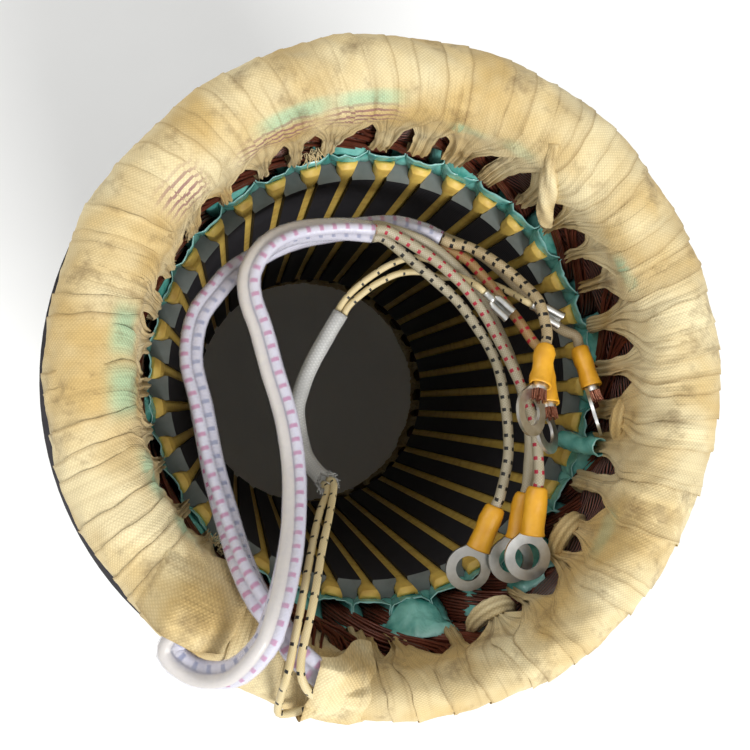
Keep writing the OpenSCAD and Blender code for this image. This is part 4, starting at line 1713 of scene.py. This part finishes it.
@dataclass
class LooseEnds:
    """Loose ends of the front winding: rolled tape, loops, laps on cords, frayed threads and rolled film."""

    rule: GeometryRule
    # Rolled tail of tape, and roll of film: radius, angle and height of the points that they pass
    tail: Places = ((80, 57, 58), (75.5, 53, 50), (72, 48.5, 41), (71.5, 45, 33), (74, 43, 27))
    tail_r: float = 2.8
    roll: Places = ((66.5, -18.4, 14), (70.5, -18.6, 20), (73.5, -18.4, 31))
    roll_r: float = 2.9
    film_t: float = 0.35
    # Angle of each loop of tape, and how far it is set back into the wall and up
    loops: Places = ((-11.0, 3.0, 7.0), (-41.0, 0.0, 0.0), (-66.5, 0.0, 0.0))
    # Points of a loop: distance from the wall, angle from the loop's, and height
    bend: Places = ((4, -5, 25), (-0.5, -3.6, 29), (-2.5, 0, 31), (-0.5, 3.6, 29), (4, 5, 25))
    loop_r: float = 3.1
    rope_sides: int = 40
    fray_angles: tuple[float, ...] = (109.0, -135.0)
    fray_h: float = 22.0
    fibre_d: float = 0.26
    fibres: int = 40
    seed: int = 41
    lap_w: float = 19.0
    lap_gap: float = 0.5
    lap_tuck: float = 3.0

    def gathered(self, parts: MeshParts, path: np.ndarray, radius: float, folds: int, twist: float) -> None:
        """Adds tape drawn together into a rope with folds along it.

        Args:
            parts: The mesh that gets the rope.
            path: Points that it passes.
            radius: Its mean radius.
            folds: Folds round it.
            twist: Turn of the folds along it, in radians per millimetre.
        """
        line = smooth(path, 0.8)
        run = run_of(line)[:, None]
        turn = np.arange(self.rope_sides)[None, :] * 2 * math.pi / self.rope_sides
        swell = np.sin(math.pi * np.clip(run / run[-1], 0.06, 0.94)) ** 0.35
        fold = np.sin(folds * turn + twist * run)
        size = (radius + 0.3 * fold + 0.15 * ripple(9, run / 7, turn / 3)) * swell
        still = np.zeros_like(size)
        # Soil and painted shade: an even tone, with painted shade in the hollows between the folds
        tube(
            parts, line, size, self.rope_sides, girth=2 * math.pi * radius * MM,
            film=still, tracer=still, drawn=still + 0.4, soil=still + 0.22 - 0.18 * fold,
        )

    def draped(self, parts: MeshParts, lap: Lap) -> None:
        """Adds a lap of tape that lies on the bundle and rises over the first ends of cords.

        Args:
            parts: The mesh that gets the tape.
            lap: The lap.
        """
        turn = math.radians(lap.turn)
        back = np.array([math.cos(turn), math.sin(turn)])
        side = np.array([-math.sin(turn), math.cos(turn)])
        across = np.linspace(0, 1, 25)[:, None]
        along = np.linspace(-1, 1, 61)[None, :]
        plan = lap.at + across[..., None] * self.lap_w * back + along[..., None] * lap.half_l * side
        height = crest(plan)
        rise = np.zeros_like(height)
        for route, radius in lap.cords:
            first, second = over_face(route)[:2]
            axis = unit((first - second)[:2])
            away = plan - first[:2]
            behind = away @ axis
            beside = np.abs(away @ np.array([-axis[1], axis[0]]))
            over = np.maximum(first[2] + radius + self.lap_gap - height, 0)
            tent = (1 - ease(0.9 * radius, 3.4 * radius, beside)) * (1 - ease(0.5, 0.7 * self.lap_w, behind))
            rise = np.maximum(rise, over * tent)
        tucked = np.maximum(ease(0.8, 1.0, np.abs(along)), ease(0.75, 1.0, across))
        height = height + rise + self.lap_gap - self.lap_tuck * tucked
        height = height + 0.25 * ripple(17, along * 0.8, across)
        still = np.zeros_like(height)
        v, u = np.meshgrid(along[0] * lap.half_l * MM, across[:, 0] * self.lap_w * MM)
        # Soil and painted shade: a faint tone, with painted shade along the lap's free edge
        parts.grid(
            np.concatenate([plan, height[..., None]], -1), np.stack([u, v], -1), flip=True, film=still,
            tracer=still, soil=still + 0.04 + 0.4 * np.exp(-(across / 0.03) ** 2), drawn=still + 0.35,
        )

    def tape(self) -> Object:
        """Makes the rolled tail, the loops of tape and the laps over the cords' ends.

        Returns:
            The tape.
        """
        parts = MeshParts()
        self.gathered(parts, np.array([polar(*place) for place in self.tail]), self.tail_r, 3, 0.5)
        for angle, back, up in self.loops:
            wall_r = float(inner_radius(np.array(angle), True)) + back
            line = np.array([polar(wall_r + r, angle + a, h + up) for r, a, h in self.bend])
            self.gathered(parts, line, self.loop_r, 7, 0.02)
        for lap in LAPS:
            self.draped(parts, lap)
        return parts.make("tape_ends", [TAPE])

    def frayed(self) -> Object:
        """Makes the frayed threads at cut tape.

        Returns:
            The threads.
        """
        rng = np.random.default_rng(self.seed)
        lines = []
        for angle in self.fray_angles:
            wall_r = float(inner_radius(np.array(angle), True))
            inwards = polar(-1.5, angle, -1.5) - polar(0, 0, 0)
            for _ in range(self.fibres):
                base = polar(
                    wall_r + rng.uniform(0, 2), angle + rng.uniform(-2.5, 2.5),
                    self.fray_h + rng.uniform(-1, 4),
                )
                reach = rng.normal(0, 0.9, 3) + inwards
                lines.append(np.array([base, base + 0.6 * reach + rng.normal(0, 0.3, 3), base + 1.2 * reach]))
        return self.rule.run(
            line_object("fray_lines", lines), "tape_frays", Radius=self.fibre_d / 2 * MM, Sides=4,
            Finish=TAPE.material(),
        )

    def film_roll(self) -> Object:
        """Makes the roll of film that lies over a slot on the right.

        Returns:
            The roll.
        """
        sides = 24
        line = smooth(np.array([polar(*place) for place in self.roll]), 1.0)
        turn = np.arange(sides)[None, :] * 2 * math.pi / sides
        size = self.roll_r + 0.35 * ripple(14, run_of(line)[:, None] / 12, turn / 4)
        parts = MeshParts()
        rim = np.linspace(0, 1, len(line))[:, None] ** 6
        tube(parts, line, size, sides, caps=False, loose=np.broadcast_to(rim, size.shape))
        return wall(parts.make("film_roll", [PHASE_FILM]), self.film_t)

    def build(self) -> None:
        """Makes and seats the loose ends."""
        seat(self.tape(), TAPE.slot)
        seat(self.frayed(), TAPE.slot)
        seat(self.film_roll(), PHASE_FILM.slot)


@dataclass(frozen=True)
class Terminal:
    """A terminal's place, with its turn, tilt and roll in degrees."""

    key: str
    hole: tuple[float, float, float]
    yaw: float
    pitch: float
    roll: float

    def matrix(self) -> np.ndarray:
        """Works out how the terminal lies.

        Returns:
            The turn and place that take its own frame into the part.
        """
        angles = [math.radians(a) for a in (self.roll, -self.pitch, self.yaw)]
        turn = Euler(angles, "XYZ").to_matrix().to_4x4()
        return np.array(Matrix.Translation(Vector(over_face([self.hole])[0])) @ turn)

    def place(self, points: np.ndarray) -> np.ndarray:
        """Takes points of the terminal's own frame into the part."""
        matrix = self.matrix()
        return points @ matrix[:3, :3].T + matrix[:3, 3]

    def behind(self, distance: float, rise: float) -> np.ndarray:
        """Returns the point that far back along the wire and that far off the tongue."""
        return self.place(np.array([-distance, 0.0, rise]))


RINGS = (
    Terminal("a1", (28, -63, 20), -112, -5, 0),
    Terminal("a2", (44, -57.5, 32), -97, -1, 0),
    Terminal("a3", (41.5, -60, 23.5), -101, -1, 0),
    Terminal("b1", (49.5, -17.5, 35), -91, 18, -44),
    Terminal("b2", (41.5, -11.5, 43), -106, 18, -34),
    Terminal("b3", (67, -12, 32), -79, 16, -66),
)
SPADES = (Terminal("1", (41, 20, 25.5), -42, 4, 0), Terminal("2", (57, 18, 29.5), -28, 2, 0))


@dataclass
class RingFitting:
    """A ring terminal with its vinyl boot and the cut strands in front of its barrel."""

    terminal: Terminal
    rule: GeometryRule
    # Whether the strands stand out of the barrel, in front of the boot
    trimmed: bool = False
    strands: int = 70
    strand_d: float = 0.36
    # Radius of the bundle of strands, and how far behind the hole they come out of the barrel
    strands_r: float = 2.2
    strands_back: float = 7.1
    seed: int = 21
    sides: int = 24

    def boot(self) -> Object:
        """Makes the boot: pinched on the lead, squeezed over the crimp, with a rolled front lip.

        Returns:
            The boot.
        """
        front = -SIZE.boot_front + (0.0 if self.trimmed else 1.4)
        back = -SIZE.boot_front - SIZE.boot_l
        # Place along the boot, half width and half height, up its outside and back down its inside
        wide = np.array([
            (back, 1.95, 1.95), (back + 0.1, 2.6, 2.5), (back + 0.8, 3.2, 2.9), (back + 2.5, 3.6, 3.1),
            (back + 5, 3.85, 3.15), (back + 7, 3.8, 2.85), (back + 9, 3.75, 2.95), (front - 3, 3.7, 3.2),
            (front - 1.2, 3.85, 3.3), (front - 0.5, 4.0, 3.45), (front, 3.85, 3.3),
            (front - 0.3, 3.3, 2.8), (front - 4, 3.0, 2.65), (back + 6, 2.8, 2.6), (back + 5, 2.0, 2.0),
            (back + 0.2, 1.85, 1.85),
        ])
        turn = np.arange(self.sides) * 2 * math.pi / self.sides
        depth = 0.08 if self.trimmed else 0.05
        dent = 1 + depth * ripple(int(abs(self.terminal.yaw)), wide[:, :1] / 7, turn[None, :] / 3)
        points = np.zeros((len(wide), self.sides, 3))
        points[..., 0] = wide[:, :1]
        points[..., 1] = wide[:, 1:2] * np.cos(turn) * dent
        points[..., 2] = SIZE.barrel_rise + wide[:, 2:3] * np.sin(turn) * dent
        parts = MeshParts()
        parts.grid(self.terminal.place(points), wrap=True, loop=True)
        return parts.make("boot_" + self.terminal.key, [VINYL])

    def cut_ends(self) -> Object:
        """Makes the strand ends that stand out of the barrel.

        Returns:
            The strands.
        """
        rng = np.random.default_rng(self.seed)
        lines = []
        for _ in range(self.strands):
            radius, turn = self.strands_r * math.sqrt(rng.uniform()), rng.uniform(0, 2 * math.pi)
            y, z = radius * math.cos(turn), SIZE.barrel_rise + radius * math.sin(turn)
            x, reach = -self.strands_back, rng.uniform(2.2, 4.0)
            lines.append(self.terminal.place(np.array([
                (x, y, z), (x + reach / 2, y * 1.08, z + 0.1), (x + reach, y * 1.15, z + 0.25),
            ])))
        name = "strands_" + self.terminal.key
        return self.rule.run(
            line_object(name + "_lines", lines), name, Radius=self.strand_d / 2 * MM, Sides=5,
            Finish=BARE.material(),
        )

    def build(self) -> list[Object]:
        """Makes and seats the fitting.

        Returns:
            Its pieces.
        """
        ring = coat("ring_terminal_" + self.terminal.key, TIN)
        boot = seat(self.boot(), VINYL.slot, "terminal_boot_" + self.terminal.key)
        return [ring, boot] + ([seat(self.cut_ends(), BARE.slot)] if self.trimmed else [])


@dataclass
class SpadeFitting:
    """A small female spade terminal: a plate with its sides rolled in, and a crimped neck."""

    terminal: Terminal
    plate_t: float = 0.4

    def build(self) -> Object:
        """Makes and seats the terminal.

        Returns:
            The terminal.
        """
        # Half of the rolled section, from its lip round to the middle of the plate
        section = np.array([
            (0.5, 0.55), (1.3, 1.0), (2.1, 1.05), (2.6, 0.5), (2.65, -0.3), (2.2, -0.95), (1.0, -1.0),
            (0.0, -0.85),
        ])
        section = np.vstack([section, section[-2::-1] * [-1, 1]])
        back = -SIZE.spade_l
        stations = np.array([back, back + 0.8, back + 1.6, -4.0, -1.0, -0.3, 0.0])
        spread = np.array([0.62, 0.8, 1.0, 1.0, 1.0, 1.04, 1.08])
        points = np.zeros((len(stations), len(section), 3))
        points[..., 0] = stations[:, None]
        points[..., 1] = section[:, 0] * spread[:, None]
        points[..., 2] = section[:, 1] * (0.6 + 0.4 * spread[:, None])
        parts = MeshParts()
        parts.grid(self.terminal.place(points))
        neck_r = np.array([1.45, 1.35, 1.2, 1.35, 1.3, 1.25])
        neck = np.array([(back - 3.0 + k * 0.75, 0.0, 0.0) for k in range(len(neck_r))])
        tube(parts, self.terminal.place(neck), neck_r, 14)
        piece = parts.make("spade_" + self.terminal.key, [TIN])
        return seat(wall(piece, self.plate_t), TIN.slot, "spade_terminal_" + self.terminal.key)


def mouth(route: Route, along: float, left: float, up: float) -> np.ndarray:
    """Works out a point at the open end of a sleeve.

    Args:
        route: The sleeve's route.
        along: Distance beyond its end.
        left: Distance to its left.
        up: Distance upwards across it.

    Returns:
        The point in the part.
    """
    points = over_face(route)
    ahead = unit(points[-1] - points[-2])
    side = unit(np.cross(UP, ahead))
    return points[-1] + ahead * along + side * left + np.cross(ahead, side) * up


def root(route: Route, ahead: float, left: float) -> np.ndarray:
    """Works out a point at the first end of a sleeve.

    Args:
        route: The sleeve's route.
        ahead: Distance before its first end.
        left: Distance to its left.

    Returns:
        The point in the part.
    """
    points = over_face(route)
    along = unit(points[1] - points[0])
    return points[0] - along * ahead + unit(np.cross(UP, along)) * left


# Places of the three leads in a sleeve's mouth: to the left and upwards
LEAD_SEATS = ((-1.85, -1.1), (0.0, 2.1), (1.85, -1.1))


@dataclass
class Sleeve:
    """A film sleeve wound tightly round three leads, which show through it."""

    key: str
    route: Route
    finishes: Sequence[Finish]
    # Turn of the leads in degrees for 100 mm
    twist: float = 60.0
    film_t: float = 0.12
    # Radius of the three leads' centres, how much the film squeezes a lead, and its air over them
    centre_r: float = 2.13
    squeeze: float = 0.05
    air: float = 0.08
    sides: int = 36

    def hull(self, away: np.ndarray) -> np.ndarray:
        """Works out the radius of a film stretched round three leads.

        Args:
            away: Angle from the nearest lead's direction.

        Returns:
            The film's radius at each angle.
        """
        centre, size = self.centre_r, SIZE.lead_d / 2 - self.squeeze + self.film_t
        corner = math.atan2(size * math.sin(math.pi / 3), centre + size / 2)
        lead = centre * np.cos(away) + np.sqrt(np.maximum(size ** 2 - (centre * np.sin(away)) ** 2, 0))
        return np.where(away < corner, lead, (centre / 2 + size) / np.cos(math.pi / 3 - away))

    def build(self) -> Object:
        """Returns:
            The sleeve.
        """
        path = smooth(over_face(self.route), 2.0)
        along, side, over = frames(path)
        run = run_of(path)
        left = unit(np.cross(UP, along[-1]))
        above = np.cross(along[-1], left)
        turn = np.radians(self.twist) * (run[-1] - run) / 100
        core = MeshParts()
        first = 0.0
        for number, (x, y) in enumerate(LEAD_SEATS):
            across = x * left + y * above
            phase = math.atan2(across @ over[-1], across @ side[-1]) + turn
            line = path + math.hypot(x, y) * (np.cos(phase)[:, None] * side + np.sin(phase)[:, None] * over)
            tube(core, line, SIZE.lead_d / 2 - self.squeeze, 12, slot=number)
            first = phase if number == 1 else first
        bundle = seat(core.make("sleeve_leads_" + self.key, self.finishes), self.finishes[0].slot)
        around = np.arange(self.sides) * 2 * math.pi / self.sides
        third = 2 * math.pi / 3
        away = np.abs((around[None, :] - first[:, None] + third / 2) % third - third / 2)
        bend = np.clip(np.linalg.norm(np.gradient(along, axis=0), axis=1)[:, None] * 6, 0, 1)
        waves = np.sin(run[:, None] * 1.9 + 2.2 * np.sin(around[None, :]))
        crinkle = 0.1 * ripple(4, run[:, None] / 30, around[None, :] / 2) + 0.22 * bend * waves
        film = MeshParts()
        tube(film, path, self.hull(away) + self.air + np.maximum(crinkle, -0.05), self.sides)
        piece = film.make("film_sleeve_" + self.key, [SLEEVE_FILM])
        seat(piece, SLEEVE_FILM.slot, "lead_sleeve_" + self.key)
        return piece


@dataclass
class Cord:
    """A braided wire along its route."""

    node: str
    points: np.ndarray
    diameter: float
    finish: Finish
    far_end: FarEnd
    pieces: Sequence[Object] = ()
    stiffness: Stiffness = Stiffness.MEDIUM
    sides: int = 16

    def build(self) -> Object:
        """Returns:
            The wire.
        """
        path = smooth(self.points, 1.6)
        run = run_of(path)
        around = np.arange(self.sides)[None, :] / self.sides
        parts = MeshParts()
        tube(parts, path, self.diameter / 2 * (1 + 0.03 * ripple(2, run[:, None] / 18, around)), self.sides)
        piece = seat(parts.make(self.node + "_braid", [self.finish]), self.finish.slot, self.node)
        return piece


@dataclass
class Leads:
    """The two sleeves, their six leads and the terminals."""

    rule: GeometryRule

    def lead_points(
        self, sleeve: Route, seat_at: tuple[float, float], route: Route, terminal: Terminal,
    ) -> np.ndarray:
        """Works out the whole path of a lead: out of the sleeve, along its route and into the terminal.

        Args:
            sleeve: Route of the sleeve.
            seat_at: The lead's place in the sleeve's mouth.
            route: The lead's own points.
            terminal: Where it ends.

        Returns:
            The path's points.
        """
        start = [mouth(sleeve, SIZE.mouth_gap + d, *seat_at) for d in (0, 4)]
        depths = (SIZE.boot_l + 4, SIZE.boot_l, SIZE.barrel_l)
        end = [terminal.behind(SIZE.boot_front + d, SIZE.barrel_rise) for d in depths]
        return np.vstack([start, over_face(route), end])

    def build(self) -> None:
        """Makes the sleeves, leads and terminals."""
        Sleeve("a", SLEEVE_A, (SLEEVED_BLUE, SLEEVED_RED, SLEEVED_PLAIN)).build()
        Sleeve("b", SLEEVE_B, (SLEEVED_RED, SLEEVED_BLUE, SLEEVED_RED)).build()
        routes = (LEAD_A1, LEAD_A2, LEAD_A3, LEAD_B1, LEAD_B2, LEAD_B3)
        finishes = (WHITE_BLACK, WHITE_RED, WHITE_PLAIN, TAN_RED, TAN_BLACK, TAN_PLAIN)
        count = len(LEAD_SEATS)
        for number, (terminal, route, finish) in enumerate(zip(RINGS, routes, finishes)):
            sleeve = SLEEVE_A if number < count else SLEEVE_B
            pieces = RingFitting(terminal, self.rule, number >= count).build()
            points = self.lead_points(sleeve, LEAD_SEATS[number % count], route, terminal)
            Cord("lead_" + terminal.key, points, SIZE.lead_d, finish, FarEnd.FITTING, pieces).build()


@dataclass
class SensorLine:
    """The temperature sensor's wires: two tails, a braided sleeve and two leads with spades."""

    rule: GeometryRule
    # Distance of the two wires from the sleeve's middle
    apart: float = 1.2
    sides: int = 12
    sleeve_sides: int = 20
    fibres: int = 150
    fibre_d: float = 0.22
    seed: int = 31

    def fray(self) -> Object:
        """Makes the loose glass fibres at the sleeve's cut end.

        Returns:
            The fibres.
        """
        rng = np.random.default_rng(self.seed)
        path = smooth(over_face(SENSOR_SLEEVE), 1.0)
        along, side, over = frames(path)
        lines = []
        for _ in range(self.fibres):
            turn, reach = rng.uniform(0, 2 * math.pi), rng.uniform(1.5, 4.5)
            out = math.cos(turn) * side[0] + math.sin(turn) * over[0]
            base = path[1] + out * rng.uniform(2.2, 2.75)
            lines.append(np.array([
                base, base - along[0] * reach * 0.5 + out * rng.uniform(0, 0.5),
                base - along[0] * reach * 0.9 + out * rng.uniform(0, 1.8),
            ]))
        fibres = self.rule.run(
            line_object("fray_lines", lines), "sleeve_fray", Radius=self.fibre_d / 2 * MM, Sides=4,
            Finish=SLEEVE_BRAID.material(),
        )
        return seat(fibres, SLEEVE_BRAID.slot)

    def build(self) -> None:
        """Makes the sensor's wires, sleeve and spades."""
        tails = ((SENSOR_TAIL_1, self.apart), (SENSOR_TAIL_2, -self.apart))
        for number, (route, left) in enumerate(tails, 1):
            end = [root(SENSOR_SLEEVE, SIZE.mouth_gap + d, left) for d in (4, 0)]
            Cord(
                f"sensor_tail_{number}", np.vstack([over_face(route), end]), SIZE.sensor_d, SENSOR_BRAID,
                FarEnd.OBJECT, stiffness=Stiffness.LIMP, sides=self.sides,
            ).build()
        Cord(
            "sensor_sleeve", over_face(SENSOR_SLEEVE), SIZE.sensor_sleeve_d, SLEEVE_BRAID, FarEnd.BARE,
            [self.fray()], Stiffness.LIMP, self.sleeve_sides,
        ).build()
        leads = ((SENSOR_LEAD_1, self.apart), (SENSOR_LEAD_2, -self.apart))
        for number, ((route, left), terminal) in enumerate(zip(leads, SPADES), 1):
            start = [mouth(SENSOR_SLEEVE, SIZE.mouth_gap + d, left, 0.0) for d in (0, 3)]
            end = [terminal.behind(SIZE.spade_l + d, 0.0) for d in (6, 3 + SIZE.mouth_gap)]
            points = np.vstack([start, over_face(route), end])
            Cord(
                f"sensor_lead_{number}", points, SIZE.sensor_d, SENSOR_BRAID, FarEnd.CONNECTOR,
                [SpadeFitting(terminal).build()], Stiffness.LIMP, self.sides,
            ).build()


@dataclass(frozen=True)
class Studio:
    """Camera at the photograph's view, soft light and a pale floor."""

    eye: tuple[float, float, float] = (-0.04786, -0.00926, 0.57962)
    right: tuple[float, float, float] = (0.9858, 0.0, 0.1682)
    upward: tuple[float, float, float] = (-0.0061, 0.9993, 0.0356)
    backward: tuple[float, float, float] = (-0.1681, -0.0361, 0.9851)
    sensor: float = 36.0
    focal_px: float = 820.0
    image_px: float = 750.0
    # What the lamps face, the strength of the surroundings, and the floor's half width and depth
    aim: tuple[float, float, float] = (0.0, 0.0, 0.3)
    glow: float = 0.62
    floor_half: float = 2500.0
    floor_z: float = -0.2

    def camera(self) -> None:
        """Makes the camera."""
        data = bpy.data.cameras.new("view")
        data.sensor_width = self.sensor
        data.lens = self.sensor * self.focal_px / self.image_px
        data.clip_start = 0.01
        eye = show(bpy.data.objects.new("view", data))
        turn = Matrix((self.right, self.upward, self.backward)).transposed().to_4x4()
        eye.matrix_world = Matrix.Translation(Vector(self.eye)) @ turn
        bpy.context.scene.camera = eye

    def lamp(self, name: str, place: tuple[float, float, float], power: float, size: float) -> None:
        """Makes a soft square lamp that faces the part.

        Args:
            name: Name of the lamp.
            place: Where it hangs, in metres.
            power: Its power in watts.
            size: Its side in metres.
        """
        data = bpy.data.lights.new(name, "AREA")
        data.energy = power
        data.size = size
        lamp = show(bpy.data.objects.new(name, data))
        lamp.location = place
        lamp.rotation_euler = (Vector(place) - Vector(self.aim)).to_track_quat("Z", "Y").to_euler()

    def build(self) -> None:
        """Makes the camera, lamps, surroundings and floor."""
        self.camera()
        self.lamp("key", (0.45, -0.95, 1.3), 19.0, 0.6)
        self.lamp("fill", (-0.9, 0.6, 1.3), 6.0, 1.0)
        world = bpy.data.worlds.new("studio")
        world.use_nodes = True
        world.node_tree.nodes.clear()
        glow = put(world.node_tree, "ShaderNodeBackground", {
            "Color": srgb("#FFFFFF"), "Strength": self.glow,
        })
        put(world.node_tree, "ShaderNodeOutputWorld", {"Surface": glow.outputs[0]})
        bpy.context.scene.world = world
        bpy.context.scene.view_settings.view_transform = "Standard"
        parts = MeshParts()
        edge = np.linspace(-self.floor_half, self.floor_half, 3)
        y, x = np.meshgrid(edge, edge, indexing="ij")
        parts.grid(np.stack([x, y, np.full_like(x, self.floor_z)], -1), np.stack([x, y], -1) * MM)
        parts.make("floor", [PAPER])


def main() -> None:
    """Builds the part's looks, piece by piece."""
    logging.basicConfig(level=logging.INFO, format="%(name)s: %(message)s")
    ring, strand = ring_rule(), strand_rule()
    Studio().build()
    Leads(strand).build()
    SensorLine(strand).build()
    Core().dress()
    SlotInsulation(ring).build()
    front_wires = CoilWires(strand, FRONT, seed=11).build()
    rear_wires = CoilWires(strand, REAR, seed=12).build()
    TapedWinding(FRONT, seed=5).dress(front_wires, "coil_sides")
    TapedWinding(REAR, seed=6).dress(rear_wires, None)
    LooseEnds(strand).build()
    LOG.info("done")


if __name__ == "__main__":
    main()
